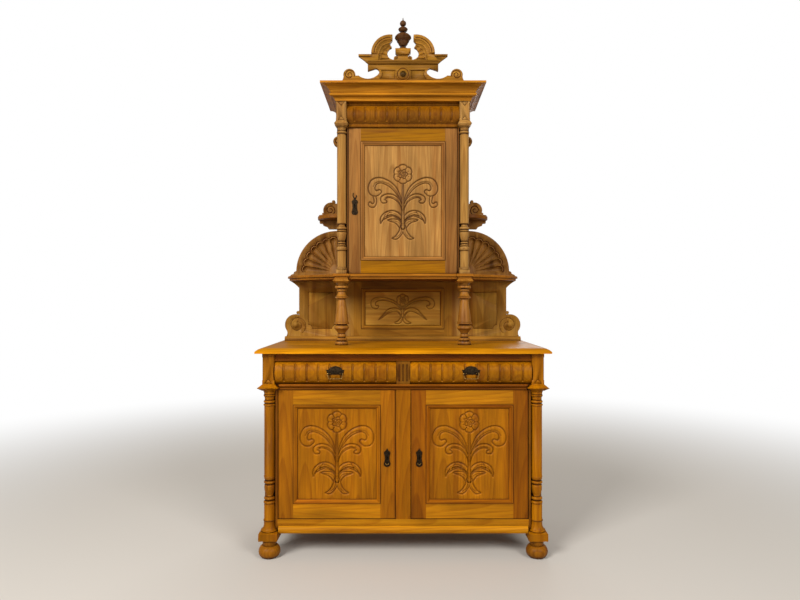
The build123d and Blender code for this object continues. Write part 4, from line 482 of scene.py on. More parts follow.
def flute_shadow(tree, flutes):
    """1 in the bottom of a row of flutes, from the row's middle x and its low and high z."""
    middle, low, high = flutes
    where = add(tree, "TexCoord", output="Object")
    parts = add(tree, "SeparateXYZ", {0: where}).node.outputs
    first = middle - FLUTES * FLUTE_PITCH / 2
    place = add(tree, "Math", {0: parts["X"], 1: first}, operation="SUBTRACT")
    place = add(tree, "Math", {0: place, 1: FLUTE_PITCH}, operation="DIVIDE")
    place = add(tree, "Math", {0: place}, operation="FRACT")
    place = add(tree, "Math", {0: place, 1: 0.5}, operation="SUBTRACT")
    place = add(tree, "Math", {0: place}, operation="ABSOLUTE")
    half = FLUTE_HALF / FLUTE_PITCH
    across = add(tree, "MapRange", {
        "Value": place, "From Min": CORE * half, "From Max": half, "To Min": 1.0, "To Max": 0.0},
        interpolation_type="SMOOTHSTEP")
    height = add(tree, "Math", {0: parts["Z"], 1: (low + high) / 2}, operation="SUBTRACT")
    height = add(tree, "Math", {0: height}, operation="ABSOLUTE")
    reach = (high - low) / 2
    upright = add(tree, "MapRange", {
        "Value": height, "From Min": reach - FLUTE_HALF, "From Max": reach + FLUTE_HALF,
        "To Min": 1.0, "To Max": 0.0}, interpolation_type="SMOOTHSTEP")
    return add(tree, "Math", {0: across, 1: upright}, operation="MULTIPLY")


for side, seed in (("left", 4.4), ("right", 7.3)):
    name = "drawer_front_" + side
    low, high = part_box(name)
    dress(pine("waxed_pine_" + name, "#9C6102", "Z", seed, knots=0.2, roughness=0.36, dirt_and_shade=0.45,
               flutes=((low.x + high.x) / 2, *DRAWER_FLUTES)), name)
dress(pine("plain_pine_drawer_boxes", "#B08450", "Y", 6.6, roughness=0.6, dirt_and_shade=0.4),
      "drawer_box_left", "drawer_box_right")

MOTTLE_WIDTH = 6.25 * MM
MOTTLE_DEPTH = 0.4 * MM
MOTTLE_STRENGTH = 0.3
MOTTLE_FROM, MOTTLE_TO = 0.35, 0.68
MOTTLE_ROUGHNESS = (-0.1, 0.15)
FAN_RIBS = 9
FAN_INNER = 7 * MM
FAN_OUTER = 19 * MM
FAN_RIM = 5.6 * MM
FAN_RISE = 9 * MM               # height of the fan's middle over the plate's foot
PLATE_FACE = 2.5 * MM           # thickness of the plate behind the fan
RIB_RADIUS = 0.8 * MM
WIRE_CREASE = radians(60)


def metal(name, hex_colour, dark, roughness):
    """Old cast or forged metal, mottled where its skin has darkened."""
    material, tree, surface = blank_material(name)
    where = add(tree, "TexCoord", output="Object")
    mottle = add(tree, "TexNoise", {
        "Vector": where, "Scale": 1 / MOTTLE_WIDTH, "Detail": 5.0, "Roughness": 0.6})
    share = add(tree, "MapRange", {"Value": mottle, "From Min": MOTTLE_FROM, "From Max": MOTTLE_TO})
    colour = add(tree, "Mix", {0: share, COLOUR_A: linear(hex_colour), COLOUR_B: linear(dark)},
                 COLOUR_MIXED, data_type="RGBA")
    smoother, rougher = MOTTLE_ROUGHNESS
    rough = add(tree, "MapRange", {
        "Value": mottle, "To Min": roughness + smoother, "To Max": roughness + rougher})
    bump = add(tree, "Bump", {"Strength": MOTTLE_STRENGTH, "Distance": MOTTLE_DEPTH, "Height": mottle})
    shader = add(tree, "BsdfPrincipled", {
        "Base Color": colour, "Roughness": rough, "Metallic": 1.0, "Normal": bump})
    tree.links.new(shader, surface)
    return material


def raised_lines(name, body, runs, radius, material):
    """Fine cast ribs along these runs of x, y and z in metres."""
    piece = round_bars(name, runs, radius)
    bpy.ops.object.shade_smooth_by_angle(angle=WIRE_CREASE)
    piece.data.materials.append(material)
    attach(piece, body)


# Cast bronze under a nearly black patina, and brass that hands keep brighter
bronze = metal("patinated_bronze", "#3C3022", "#120D08", 0.5)
brass = metal("aged_brass", "#B98F4C", "#5C4220", 0.35)
for side in ("left", "right"):
    plate = "pull_plate_" + side
    low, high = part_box(plate)
    middle_x, middle_z = (low.x + high.x) / 2, low.z + FAN_RISE
    face = high.y - PLATE_FACE
    fan = []
    for number in range(FAN_RIBS):
        angle = pi * (number + 0.5) / FAN_RIBS
        fan.append([(middle_x + reach * cos(angle), face, middle_z + reach * sin(angle))
                    for reach in (FAN_INNER, FAN_OUTER)])
    fan.append([(middle_x + FAN_RIM * cos(a), face, middle_z + FAN_RIM * sin(a))
                for a in np.linspace(0, pi, 9)])
    dress(bronze, plate)
    raised_lines("pull_fan_" + side, "drawer_" + side, fan, RIB_RADIUS, bronze)
dress(brass, "pull_bail_left", "pull_bail_right")

# ---------------------------------------------------------------- lower doors
# Mortised frames with a mitred moulding round a solid panel, which has a rose spray
# carved into its face: each leaf and scroll is a ribbon with a gouged outline,
# rounded inside, and cuts into the ones behind it.

STILE = 62 * MM
VECTOR_A, VECTOR_B, VECTOR_MIXED = 4, 5, 1
# Dark lines in the moulding's quirks are old wax and painted shade
MOULD_QUIRKS = ((0.5 * MM, 0.95), (7 * MM, 0.4), (17 * MM, 0.9))     # place in the moulding, and darkness
QUIRK_WIDTH = 2.8 * MM
EDGE_SHADOW = 0.6 * MM            # painted shadow in the gap round the frame's outer edge
EDGE_SHADOW_DARKNESS = 0.85
RIDGE_HIGHLIGHT = 0.3                 # how much brighter the moulding is drawn, as a painted highlight


def frame_vector(tree, opening, seed):
    """Grain along each stile, rail and mitred moulding of a frame round an opening.

    opening is its middle x and z, half width, half height, and the frame's width round it.
    Also gives 1 on rails, the dark lines of old wax and painted shade in the quirks, with painted shadow in
    the gap at the outer edge, and 1 on the moulding.
    """
    middle_x, middle_z, half_x, half_z, edge = opening
    where = add(tree, "TexCoord", output="Object")
    parts = add(tree, "SeparateXYZ", {0: where}).node.outputs
    inward = []
    for axis, middle, half in (("X", middle_x, half_x), ("Z", middle_z, half_z)):
        away = add(tree, "Math", {0: parts[axis], 1: middle}, operation="SUBTRACT")
        away = add(tree, "Math", {0: away}, operation="ABSOLUTE")
        inward.append(add(tree, "Math", {0: half, 1: away}, operation="SUBTRACT"))
    in_x, in_z = inward
    beside = add(tree, "Math", {0: in_x, 1: 0.0}, operation="LESS_THAN")
    within = add(tree, "Math", {0: in_z, 1: 0.0}, operation="GREATER_THAN")
    nearer = add(tree, "Math", {0: in_x, 1: in_z}, operation="LESS_THAN")
    mitred = add(tree, "Math", {0: within, 1: nearer}, operation="MULTIPLY")
    upright = add(tree, "Math", {0: beside, 1: mitred}, operation="MAXIMUM")
    lying, standing = grain_vector(tree, "X", seed + 3), grain_vector(tree, "Z", seed)
    vector = add(tree, "Mix", {0: upright, VECTOR_A: lying, VECTOR_B: standing}, VECTOR_MIXED,
                 data_type="VECTOR")
    inside = add(tree, "Math", {0: in_x, 1: in_z}, operation="MINIMUM")
    quirks = 0.0
    for place, darkness in (*MOULD_QUIRKS, (EDGE_SHADOW - edge, EDGE_SHADOW_DARKNESS)):
        away = add(tree, "Math", {0: inside, 1: place}, operation="SUBTRACT")
        away = add(tree, "Math", {0: away}, operation="ABSOLUTE")
        line = add(tree, "MapRange", {
            "Value": away, "From Max": QUIRK_WIDTH, "To Min": darkness, "To Max": 0.0},
            interpolation_type="SMOOTHSTEP")
        quirks = add(tree, "Math", {0: quirks, 1: line}, operation="MAXIMUM")
    above = add(tree, "Math", {0: in_z, 1: 0.0}, operation="LESS_THAN")
    on_rail = add(tree, "Math", {0: above, 1: upright}, operation="SUBTRACT", use_clamp=True)
    moulded = add(tree, "Math", {0: inside, 1: 0.0}, operation="GREATER_THAN")
    return vector, on_rail, quirks, moulded


def frame_opening(name, stile, rail):
    """Middle and half sizes of the opening inside a door frame's stiles and rails."""
    low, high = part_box(name)
    return ((low.x + high.x) / 2, (low.z + high.z) / 2, (high.x - low.x) / 2 - stile,
            (high.z - low.z) / 2 - rail, rail)


for side, seed, colour in (("left", 1.7, "#945804"), ("right", 6.3, "#8A4E02")):
    name = "lower_door_frame_" + side
    dress(pine("waxed_pine_" + name, colour, seed=seed, opening=frame_opening(name, STILE, STILE),
               rails="#AC6E08"), name)

GOUGE_DEPTH = 4.2
GOUGE_OUT = 2.7                 # reach of the gouge outside an outline
GOUGE_IN = 3.0                  # and inside it
FAINT_CUT, FULL_CUT = 0.3, 0.9  # shares of the gouge's depth where old wax and painted shade start and are full
ROUNDING = 1.3                  # how far a ribbon's edge falls below its middle
CROWN = 0.3                     # how far its middle lies below the face
RIBBON_REACH = 12.0             # past this a cut no longer shows
VEIN_DEPTH = 2.7
VEIN_WIDTH = 1.7
MIDRIB_DEPTH = 2.8

# Spines as x, z and half width in mm from the rose's middle, for the left half
OUTER_SCROLL = ((-3, -138, 1.5), (-11, -108, 3.7), (-21, -87, 6.2), (-38, -61, 9.2), (-65, -39, 10.5),
                (-98, -27, 11.7), (-125, -34, 14), (-137, -57, 15), (-133, -77, 15), (-117, -84, 12),
                (-103, -77, 9))
MIDDLE_SCROLL = ((-1, -169, 1.5), (-7, -138, 4.3), (-21, -114, 6.8), (-44, -98, 8.3), (-68, -95, 8.3),
                 (-87, -105, 9.5), (-87, -117, 9), (-77, -120, 6.5))
UPPER_LEAF = ((-2, -212, 1.8), (-11, -192, 8), (-24, -179, 11), (-45, -171, 11.7), (-67, -176, 12.5),
              (-85, -188, 10), (-94, -201, 5.5), (-97, -215, 1))
LOWER_LEAF = ((-5, -255, 3), (-9, -229, 9), (-21, -211, 10.5), (-36, -204, 8), (-51, -202, 5.5),
              (-65, -201, 1.2))
TAIL = ((-4, -231, 8), (-9, -251, 9), (-18, -266, 8.5), (-30, -278, 7), (-46, -281, 1.2))
STEM = ((0, -40, 3), (0, -108, 4), (0, -169, 5), (0, -212, 7), (0, -235, 7))
LEAF_VEINS = (((-3, -218), (-16, -195), (-36, -181), (-61, -180), (-82, -190), (-92, -204)),
              ((-4, -226), (-14, -203), (-31, -190), (-51, -188)),
              ((-5, -206), (-21, -184), (-42, -171), (-60, -167)),
              ((-6, -240), (-14, -218), (-30, -207), (-52, -203)),
              ((-12, -200), (-28, -184), (-48, -177), (-70, -182)),
              ((-58, -166), (-66, -176), (-70, -188)),
              ((-76, -176), (-82, -186), (-84, -197)))
MIDRIBS = (((-6, -128), (-18, -95), (-33, -70), (-58, -46), (-92, -33), (-118, -37), (-130, -54)),
           ((-4, -158), (-15, -125), (-33, -106), (-58, -98), (-78, -102)),
           ((-4, -236), (-7, -252), (-15, -266), (-28, -275)))
DOOR_FORMS = (OUTER_SCROLL, MIDDLE_SCROLL, UPPER_LEAF, LOWER_LEAF, TAIL, STEM)
DOOR_ROSE = 42.0
DOOR_SPRAY = (DOOR_FORMS, LEAF_VEINS, MIDRIBS, DOOR_ROSE)

PETALS = 6
PETAL_FULLNESS = 0.45           # lower is rounder, with a narrower cleft
PETAL_SHARE = 0.18              # how deep the clefts go, as a share of the radius
FOLDS = 10
FOLD_SWAY = 1.6
FOLD_DEPTH = 2.6
FOLD_BAND = (0.42, 0.78)        # inner and outer end, as shares of the radius
FOLD_FADE = 6.0
CLEFT_DEPTH = 2.6
CLEFT_WIDTH = 2.8
CLEFT_START = 0.45
BUDS = ((0.5, 5, 0.3), (0.31, 3, 1.1), (0.14, 2, 0.4))     # share of the radius, lobes and turn
BUD_SHARE = 0.12
PANEL_GRID = 1.7 * MM
PANEL_CREASE = radians(50)
LOWER_ROSE = 550.6 * MM
LOWER_STRETCH = 1.04            # the lower sprays are a little taller than the upper one


def smooth_run(points, step=1.2):
    """Points along a Catmull-Rom curve through these, about a step apart."""
    points = np.array(points, float)
    ends = np.vstack((2 * points[0] - points[1], points, 2 * points[-1] - points[-2]))
    run = []
    for a, b, c, d in zip(ends, ends[1:], ends[2:], ends[3:]):
        count = max(2, int(np.linalg.norm((c - b)[:2]) / step))
        t = np.linspace(0, 1, count, endpoint=False)[:, None]
        run.append(0.5 * (2 * b + (c - a) * t + (2 * a - 5 * b + 4 * c - d) * t ** 2
                          + (3 * b - 3 * c + d - a) * t ** 3))
    return np.vstack(run + [points[-1:]])


def distance_to(x, z, run):
    """Distance from each point to the outline of a ribbon or line, negative inside it."""
    best = np.full(x.shape, np.inf)
    reach = run[:, 2].max() + RIBBON_REACH
    near = ((x > run[:, 0].min() - reach) & (x < run[:, 0].max() + reach)
            & (z > run[:, 1].min() - reach) & (z < run[:, 1].max() + reach))
    for spine_x, spine_z, half in run:
        best[near] = np.minimum(best[near], np.hypot(x[near] - spine_x, z[near] - spine_z) - half)
    return best


def cut_outline(level, inside, wide):
    """Lower the face with a gouge along an outline, and round what lies inside it."""
    outer = -GOUGE_DEPTH * np.exp(-(inside / GOUGE_OUT) ** 2)
    crown = -ROUNDING * (1 - np.clip(-inside / wide, 0, 1)) ** 2 - CROWN
    inner = crown - (GOUGE_DEPTH - ROUNDING) * np.exp(-(inside / GOUGE_IN) ** 2)
    return np.where(inside < 0, inner, np.minimum(level, outer))


def carve_rose(level, x, z, radius):
    """Notched petals with folds, round a bud of three turns."""
    away = np.hypot(x, z)
    angle = np.arctan2(z, x) - pi / 2
    petal = np.abs(np.cos(PETALS / 2 * angle))
    edge = radius * (1 - PETAL_SHARE + PETAL_SHARE * petal ** PETAL_FULLNESS)
    level = cut_outline(level, away - edge, radius / 2)
    folds = np.clip(np.cos(FOLDS * angle + FOLD_SWAY * np.sin(2 * angle)), 0, 1) ** 4
    for start in (away / radius - FOLD_BAND[0], FOLD_BAND[1] - away / radius):
        folds = folds * np.clip(start * FOLD_FADE, 0, 1)
    cleft = np.exp(-(petal * away / CLEFT_WIDTH) ** 2) * (away > radius * CLEFT_START)
    level = np.where(away < edge, level - FOLD_DEPTH * folds - CLEFT_DEPTH * cleft, level)
    for share, lobes, turn in BUDS:
        bud = radius * share * (1 - BUD_SHARE + BUD_SHARE * np.cos(lobes * (angle + turn)))
        level = np.where(away < edge, cut_outline(level, away - bud, radius * share), level)
    return level


def carve_spray(x, z, spray):
    """Depths of a spray that is drawn for the left half and mirrored, with its rose cut last."""
    forms, veins, midribs, rose = spray
    left = -np.abs(x)
    level = np.zeros(len(x))
    for spine in forms:
        run = smooth_run(spine)
        level = cut_outline(level, distance_to(left, z, run), run[:, 2].max())
    for lines, depth in ((veins, VEIN_DEPTH), (midribs, MIDRIB_DEPTH)):
        for points in lines:
            away = distance_to(left, z, smooth_run([(*point, 0.0) for point in points]))
            level = level - depth * np.exp(-(away / VEIN_WIDTH) ** 2)
    return carve_rose(level, x, z, rose)


def carved_panel(node, body, grid, spray, rose_height, stretch, material):
    """A panel in its node's place: a fine grid for the face, carved, then walls and a back."""
    low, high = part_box(node)
    width, height = high.x - low.x, high.z - low.z
    middle = (low.x + high.x) / 2
    bpy.ops.object.select_all(action="DESELECT")
    bpy.ops.mesh.primitive_grid_add(
        x_subdivisions=round(width / grid), y_subdivisions=round(height / grid), size=1,
        location=(middle, low.y, (low.z + high.z) / 2), rotation=(pi / 2, 0, 0))
    panel = bpy.context.object
    panel.name = "carved_" + node
    panel.scale = (width, height, 1)
    bpy.ops.object.transform_apply(location=True, rotation=True, scale=True)
    places = np.empty(len(panel.data.vertices) * 3)
    panel.data.vertices.foreach_get("co", places)
    places = places.reshape(-1, 3)
    level = carve_spray((places[:, 0] - middle) / MM, (places[:, 2] - rose_height) / MM / stretch, spray)
    places[:, 1] -= level * MM
    panel.data.vertices.foreach_set("co", places.ravel())
    gouge = panel.data.attributes.new("gouge", "FLOAT", "POINT")
    gouge.data.foreach_set("value", np.clip(-level / GOUGE_DEPTH, 0, 1))
    bpy.ops.object.mode_set(mode="EDIT")
    bpy.ops.mesh.select_mode(type="EDGE")
    bpy.ops.mesh.select_all(action="DESELECT")
    bpy.ops.mesh.select_non_manifold()
    bpy.ops.mesh.extrude_region_move(TRANSFORM_OT_translate={"value": (0, high.y - low.y, 0)})
    bpy.ops.mesh.edge_face_add()
    bpy.ops.mesh.select_all(action="SELECT")
    bpy.ops.mesh.normals_make_consistent(inside=False)
    bpy.ops.object.mode_set(mode="OBJECT")
    bpy.ops.object.shade_smooth_by_angle(angle=PANEL_CREASE)
    panel.data.materials.append(material)
    panel.data.materials.append(plain_back)
    for face in panel.data.polygons:
        if face.normal.y > 0.5:
            face.material_index = 1
    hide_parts(node)
    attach(panel, body)


# Cast bronze plates over the keyholes, each with a small brass drop ring at its foot,
# and forged iron locks let into the stiles. The doors turn on iron pins
RING_RADIUS = 6.5 * MM
RING_STRETCH = 1.2              # height to width
RING_WIRE = 1.2 * MM
RING_HEIGHT = 17 * MM           # the ring's ends over the plate's foot
RING_OUT = 0.9 * MM             # how far it hangs in front of the plate
plain_back = pine("plain_pine_panel_backs", "#8E5E1E", "Z", 7.9, roughness=0.5, dirt_and_shade=0.4)
iron = metal("forged_iron", "#5A5650", "#2A2724", 0.5)
for side, seed in (("left", 1.9), ("right", 5.2)):
    node = "lower_door_panel_" + side
    carved_panel(node, "lower_door_" + side, PANEL_GRID, DOOR_SPRAY, LOWER_ROSE, LOWER_STRETCH,
                 pine("waxed_pine_" + node, "#A06204", "Z", seed, gouged=0.44, painted_top_light=0.5))
    plate = "lower_escutcheon_" + side
    low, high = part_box(plate)
    middle_x, top = (low.x + high.x) / 2, low.z + RING_HEIGHT
    ring = [(middle_x + RING_RADIUS * cos(a), low.y - RING_OUT, top + RING_STRETCH * RING_RADIUS * sin(a))
            for a in np.linspace(pi, 2 * pi, 13)]
    dress(bronze, plate)
    raised_lines("drop_ring_" + side, "lower_door_" + side, [ring], RING_WIRE, brass)
    dress(iron, "lower_lock_case_" + side, "lower_lock_bolt_" + side)
dress(iron, "pivot_pins")

# ---------------------------------------------------------------- balusters and middle shelf
# Two turned balusters carry the shelf over the open niche. The shelf is one board
# with a stepped edge, curving back to the tips of the wings.

TOP_SURFACE = 860.0
BALUSTER_NECKS = ((17, 2.0), (32, 2.0), (49, 2.0), (70, 0.8), (87.5, 2.5), (99, 0.8), (199, 0.8),
                  (211, 1.0), (232, 0.8), (244, 2.0), (258, 1.0))
dress(pine("waxed_pine_balusters", "#A46C22", "Z", 2.9, knots=0.15, dirt_and_shade=0.95, shine=0.18,
           necks=[(TOP_SURFACE + middle, half) for middle, half in BALUSTER_NECKS]),
      "baluster_left", "baluster_right")
dress(pine("waxed_pine_middle_shelf", "#985E14", "X", 5.7), "middle_shelf")

# ---------------------------------------------------------------- niche
# A framed panel with a low carved spray stands behind the niche, over a moulding on
# the top board. The wings beside it end in scrolls with an incised spiral, and have a
# plain field marked out by one incised line with hollow corners.

NICHE_LOW = 916 * MM
NICHE_HIGH = 1112 * MM
NICHE_HALF = 199 * MM
NO_EDGE = 1.0                   # a frame this wide has no outer edge line
NICHE_GRID = 2.0 * MM
NICHE_ROSE = 1052.8 * MM
NICHE_SCROLL = ((-6, -43, 2.2), (-26, -19, 4.3), (-52, -3, 5.6), (-86, 7, 6.9), (-119, 7, 8.6),
                (-140, -6, 11), (-141, -25, 11), (-128, -34, 7.8), (-119, -28, 3.5))
NICHE_LEAF = ((-2, -93, 3.5), (-13, -58, 7.8), (-35, -45, 8.6), (-63, -50, 8.6), (-88, -69, 5),
              (-114, -93, 1))
NICHE_TAIL = ((-6, -73, 3.5), (-7, -91, 6), (-17, -105, 7), (-37, -110, 2.6))
NICHE_STEM = ((0, -26, 2.6), (0, -58, 4), (0, -80, 5))
NICHE_VEINS = (((-6, -80), (-20, -55), (-45, -47), (-75, -58), (-98, -78)),)
NICHE_SPRAY = ((NICHE_SCROLL, NICHE_LEAF, NICHE_TAIL, NICHE_STEM), NICHE_VEINS, (), 30.0)
niche_opening = (0, (NICHE_LOW + NICHE_HIGH) / 2, NICHE_HALF, (NICHE_HIGH - NICHE_LOW) / 2, NO_EDGE)
dress(pine("waxed_pine_niche_frame", "#93641C", seed=4.1, opening=niche_opening), "niche_frame")
# The panel is drawn paler than the wood round it: painted light that makes up for the shade in the niche
carved_panel("niche_panel", "cabinet", NICHE_GRID, NICHE_SPRAY, NICHE_ROSE, 1.0,
             pine("waxed_pine_niche_panel", "#C8943A", "X", 14.9, gouged=0.5, painted_top_light=0.5))
dress(pine("waxed_pine_niche_moulding", "#9A6A24", "X", 4.8), "back_base_moulding")

BOARD_FACE = 215.0              # face of the wings
FIELD_OUTER = 453.5
FIELD_INNER = 322.0
FIELD_HIGH = 1092.0
FIELD_LOW = 917.0
FIELD_CORNER = 19.5
WING_SCROLL = (507, 934, 44, 5, 240, -1.9)      # x, z, outer and inner radius, start angle and turns
FINE_GROOVE = 1.0


def spiral(scroll, sign):
    """An incised spiral that winds inwards from its outer end, mirrored by the sign."""
    x, z, outer, inner, start, turns = scroll
    run = []
    for share in np.linspace(0, 1, int(30 * abs(turns))):
        angle = radians(start) + 2 * pi * turns * share
        reach = outer + (inner - outer) * share
        run.append((sign * (x + reach * cos(angle)), z + reach * sin(angle)))
    return run


def arc(x, z, radius, start, end, count, sign):
    """Points of an arc, mirrored by the sign."""
    return [(sign * (x + radius * cos(radians(a))), z + radius * sin(radians(a)))
            for a in np.linspace(start, end, count)]


for side, sign in (("left", -1), ("right", 1)):
    field = [(sign * FIELD_OUTER, FIELD_HIGH)]
    field += arc(FIELD_OUTER, FIELD_LOW, FIELD_CORNER, 90, 180, 7, sign)
    field += arc(FIELD_INNER, FIELD_LOW, FIELD_CORNER, 0, 90, 7, sign)
    field += [(sign * FIELD_INNER, FIELD_HIGH), field[0]]
    engrave("lower_wing_" + side, {BOARD_FACE: [field, spiral(WING_SCROLL, sign)]}, FINE_GROOVE,
            pine("waxed_pine_lower_wing_" + side, "#A0722A", "Z", 3.3 - sign))

# ---------------------------------------------------------------- shell wings
# One wide board on each side of the cabinet, sawn to an arch with a corbel, a scroll
# and an ear over it. Its shell is gouged: eight flutes that fan out from a plain hub,
# with a scalloped line round their ends.

SHELL_X = 315.0
SHELL_Z = 1190.0
SHELL_HOLLOW = 150.0
SHELL_FIRST = 5.0
SHELL_STEP = 13.0
SHELL_FLUTES = 8
SCALLOP = 22.0
CABINET_SIDE = 252.0            # the shell ends behind the cabinet's side
SHELL_GROOVE = 2.1
CORBEL_SCROLL = (348, 1488, 24, 5, 240, -1.5)
EAR_SCROLL = (311, 1819, 18, 4, 200, -1.3)


def scallops(x, z, hollow, radius, spread, angles, count, sign):
    """One line of arcs round the outer ends of a shell's flutes."""
    run = []
    for outward in angles:
        end_x, end_z = x + hollow * cos(radians(outward)), z + hollow * sin(radians(outward))
        run += arc(end_x, end_z, radius, outward - spread, outward + spread, count, sign)
    return run


shell_angles = [SHELL_FIRST + number * SHELL_STEP for number in range(SHELL_FLUTES)]
for side, sign in (("left", -1), ("right", 1)):
    rim = scallops(SHELL_X, SHELL_Z, SHELL_HOLLOW, SCALLOP, 50, shell_angles, 9, sign)
    rim = [point for point in rim if abs(point[0]) > CABINET_SIDE]
    engrave("shell_wing_" + side, {BOARD_FACE: [rim, spiral(CORBEL_SCROLL, sign), spiral(EAR_SCROLL, sign)]},
            SHELL_GROOVE, pine("waxed_pine_shell_wing_" + side, "#9A6A2E", "Z", 9.3 + sign))
dress(pine("waxed_pine_side_shelves", "#8A5414", "X", 5.7), "side_shelves")

# ---------------------------------------------------------------- upper cabinet
# A narrow box of pine boards between two turned columns, with one plain shelf
# inside. Each column has a square block with chip-carved triangles.

COLUMN_X = 267.0
BLOCK_FRONT = -85.5
BLOCK_LOW = 1830.0
BLOCK_HIGH = 1914.0
COLUMN_CHIP = (4.0, 13.0, 16.0)
COLUMN_FOOT = 1187.0
COLUMN_HEAD = 1807.0
LOWER_NECKS = ((10, 0.8), (81.5, 1.5), (101.5, 1.5), (111, 2.0), (121.5, 1.5), (163.5, 1.5), (172, 2.0),
               (186, 0.8), (198, 1.2))
UPPER_NECKS = ((4, 0.8), (18, 2.0), (32, 3.0))
column_necks = [(COLUMN_FOOT + middle, half) for middle, half in LOWER_NECKS]
column_necks += [(COLUMN_HEAD - middle, half) for middle, half in UPPER_NECKS]
# These boards are drawn darker than the back, as painted shade in the gap between column and door
dress(pine("waxed_pine_upper_sides", "#70461A", "Z", 8.8),
      "upper_side_left", "upper_side_right", "upper_shelf")
dress(pine("waxed_pine_upper_back", "#8A5C24", "Z", 2.2), "upper_back")
for side, sign in (("left", -1), ("right", 1)):
    foot = triangle(sign * COLUMN_X, BLOCK_LOW, COLUMN_CHIP)
    head = [(x, BLOCK_LOW + BLOCK_HIGH - z) for x, z in foot]
    engrave("upper_column_" + side, {BLOCK_FRONT: [foot, head]}, GROOVE,
            pine("waxed_pine_column_" + side, "#A0753A", "Z", 2.9 + sign, knots=0.15, necks=column_necks))

# ---------------------------------------------------------------- upper door
# A frame and carved panel like those of the lower doors, but paler, with a
# pendant under each outer scroll. Its bronze plate has two short horns.

UPPER_STILE = 52 * MM
UPPER_RAIL = 58 * MM
UPPER_ROSE = 1605 * MM
PENDANT = ((-127, -89, 6.8), (-122, -108, 6), (-121, -124, 5.5), (-129, -137, 8), (-141, -135, 8.5),
           (-144, -128, 6))
UPPER_SPRAY = ((PENDANT, *DOOR_FORMS), LEAF_VEINS, MIDRIBS, DOOR_ROSE)
HORNS = ((-6.5 * MM, 19 * MM), (6.5 * MM, 10 * MM))      # how far each reaches aside and up
HORN_PATH = ((0.5, -5 * MM, 0.0), (1.25, 0.0, 0.45), (1.0, 0.0, 1.0))     # share aside, rise and share up
HORN_RADIUS = 1.7 * MM
HORN_FACE = 1.6 * MM
dress(pine("waxed_pine_upper_door_frame", "#8E602C", seed=9.9,
           opening=frame_opening("upper_door_frame", UPPER_STILE, UPPER_RAIL), rails="#9A6400"),
      "upper_door_frame")
carved_panel("upper_door_panel", "upper_door", PANEL_GRID, UPPER_SPRAY, UPPER_ROSE, 1.0,
             pine("waxed_pine_upper_panel", "#A3763C", "Z", 12.9, gouged=0.74, painted_top_light=0.55))
low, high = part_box("upper_escutcheon")
middle_x = (low.x + high.x) / 2
horns = [[(middle_x + aside * share_aside, high.y - HORN_FACE, high.z + rise + up * share_up)
          for share_aside, rise, share_up in HORN_PATH] for aside, up in HORNS]
dress(bronze, "upper_escutcheon")
raised_lines("escutcheon_horns", "upper_door", horns, HORN_RADIUS, bronze)
dress(iron, "upper_lock_case", "upper_lock_bolt")

# ---------------------------------------------------------------- frieze and cornice
# A swelling frieze with gouged flutes over the door, under a wide moulded cornice.
# Both are planed from pine, and the cornice is glued and pinned to its dust board.

FRIEZE_FLUTES = (1838 * MM, 1886 * MM)
dress(pine("waxed_pine_upper_frieze", "#7E4C04", "Z", 1.3, dirt_and_shade=0.3, painted_top_light=0.5, flutes=(0, *FRIEZE_FLUTES)),
      "upper_frieze")
dress(pine("waxed_pine_cornice", "#BC7A18", "X", 7.1), "cornice")

# ---------------------------------------------------------------- crest
# Sawn from one board and carved: a broken arch over two half shells, shoulders, and
# a long hollow down to volutes with incised spirals. A turned button of walnut is let
# into the round lobe, and the walnut finial is dowelled into a pedestal.

CREST_FACE = -105.0
BAND_FACE = -119.0
LOBE_FACE = -108.0
CORNICE_TOP = 1981.0
LOBE_Z = 2022.0
LOBE_RING = 24.0
ARCH_X = 56.0
ARCH_Z = 2107.0
ARCH_QUIRK = 67.0
HALF_SHELL_X = 36.0
HALF_SHELL_Z = 2090.0
HALF_SHELL_FLUTES = 4
HALF_SHELL_FIRST = -6.0
HALF_SHELL_STEP = 22.0
HALF_SHELL_HUB = 24.0
HALF_SHELL_REACH = 50.0
HALF_SHELL_SCALLOP = 9.5
VOLUTE = (230, 2020, 22, 4, 200, -1.7)
CURL = (30, 2091, 6.5, 2, 200, -1.2)
# The sunk panel beside the lobe, as x and height over the cornice
SUNK_PANEL = ((36, 22), (100, 22), (91.5, 30), (88, 40), (88.5, 50), (93, 58), (33, 58), (37, 48), (38, 40),
              (37.5, 30), (36, 22))
FINIAL_FOOT = 2129.0
FINIAL_NECKS = ((13.5, 2.5), (37, 1.5), (51, 1.2), (57, 1.0), (67, 1.2), (74.5, 2.5), (89, 1.0),
                (99.5, 2.5), (124, 2.0))
BUTTON_RADIUS = 13.0
BUTTON_SEAT = 4.0               # how far its back lies in front of the lobe
BUTTON_STEPS = ((0.86, 2.5), (0.8, 1.2), (0.9, -1.6), (0.45, 2.6), (0.5, 0.6))     # taper and rise
BUTTON_CREASE = radians(30)

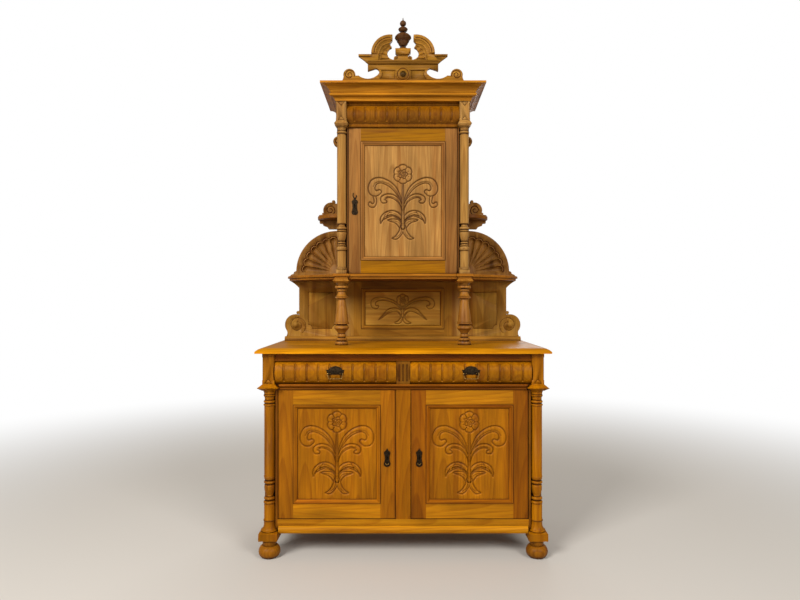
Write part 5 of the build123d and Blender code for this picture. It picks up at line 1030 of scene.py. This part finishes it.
board_lines, band_lines = [], []
half_shell_angles = [HALF_SHELL_FIRST + number * HALF_SHELL_STEP for number in range(HALF_SHELL_FLUTES)]
for sign in (-1, 1):
    board_lines += [spiral(VOLUTE, sign), spiral(CURL, sign)]
    board_lines.append([(sign * x, CORNICE_TOP + z) for x, z in SUNK_PANEL])
    for outward in half_shell_angles:
        ridge = radians(outward + HALF_SHELL_STEP / 2)
        board_lines.append([(sign * (HALF_SHELL_X + reach * cos(ridge)), HALF_SHELL_Z + reach * sin(ridge))
                            for reach in (HALF_SHELL_HUB, HALF_SHELL_REACH)])
    board_lines.append(scallops(HALF_SHELL_X, HALF_SHELL_Z, HALF_SHELL_REACH, HALF_SHELL_SCALLOP, 55,
                                half_shell_angles, 13, sign))
    band_lines.append(arc(ARCH_X, ARCH_Z, ARCH_QUIRK, 2, 93, 11, sign))
lobe_ring = arc(0, LOBE_Z, LOBE_RING, 0, 360, 45, 1)
lobe_ring[-1] = lobe_ring[0]
engrave("crest_board", {CREST_FACE: board_lines, BAND_FACE: band_lines, LOBE_FACE: [lobe_ring]}, GROOVE,
        pine("waxed_pine_crest", "#9A6B22", "X", 2.1, dirt_and_shade=0.7))
dress(pine("waxed_walnut_finial", "#5C3A18", "Z", 5.5, knots=0, roughness=0.36, shine=0.15,
           necks=[(FINIAL_FOOT + middle, half) for middle, half in FINIAL_NECKS]), "finial")

bpy.ops.object.select_all(action="DESELECT")
bpy.ops.mesh.primitive_circle_add(vertices=32, radius=BUTTON_RADIUS * MM, fill_type="NGON",
                                  location=(0, 0, 0), rotation=(pi / 2, 0, 0))
button = bpy.context.object
button.name = "crest_button"
bpy.ops.object.transform_apply(location=True, rotation=True, scale=True)
bpy.ops.object.mode_set(mode="EDIT")
bpy.ops.mesh.select_all(action="SELECT")
for taper, rise in BUTTON_STEPS:
    bpy.ops.mesh.extrude_region_move(TRANSFORM_OT_translate={"value": (0, -rise * MM, 0)})
    bpy.ops.transform.resize(value=(taper, 1, taper), center_override=(0, 0, 0))
bpy.ops.mesh.select_all(action="SELECT")
bpy.ops.mesh.normals_make_consistent(inside=False)
bpy.ops.transform.translate(value=(0, (LOBE_FACE - BUTTON_SEAT) * MM, LOBE_Z * MM))
bpy.ops.object.mode_set(mode="OBJECT")
bpy.ops.object.shade_smooth_by_angle(angle=BUTTON_CREASE)
button.data.materials.append(
    pine("waxed_walnut_button", "#4A340E", "Z", 6.1, knots=0, roughness=0.36, shine=0.1))
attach(button, "cabinet")
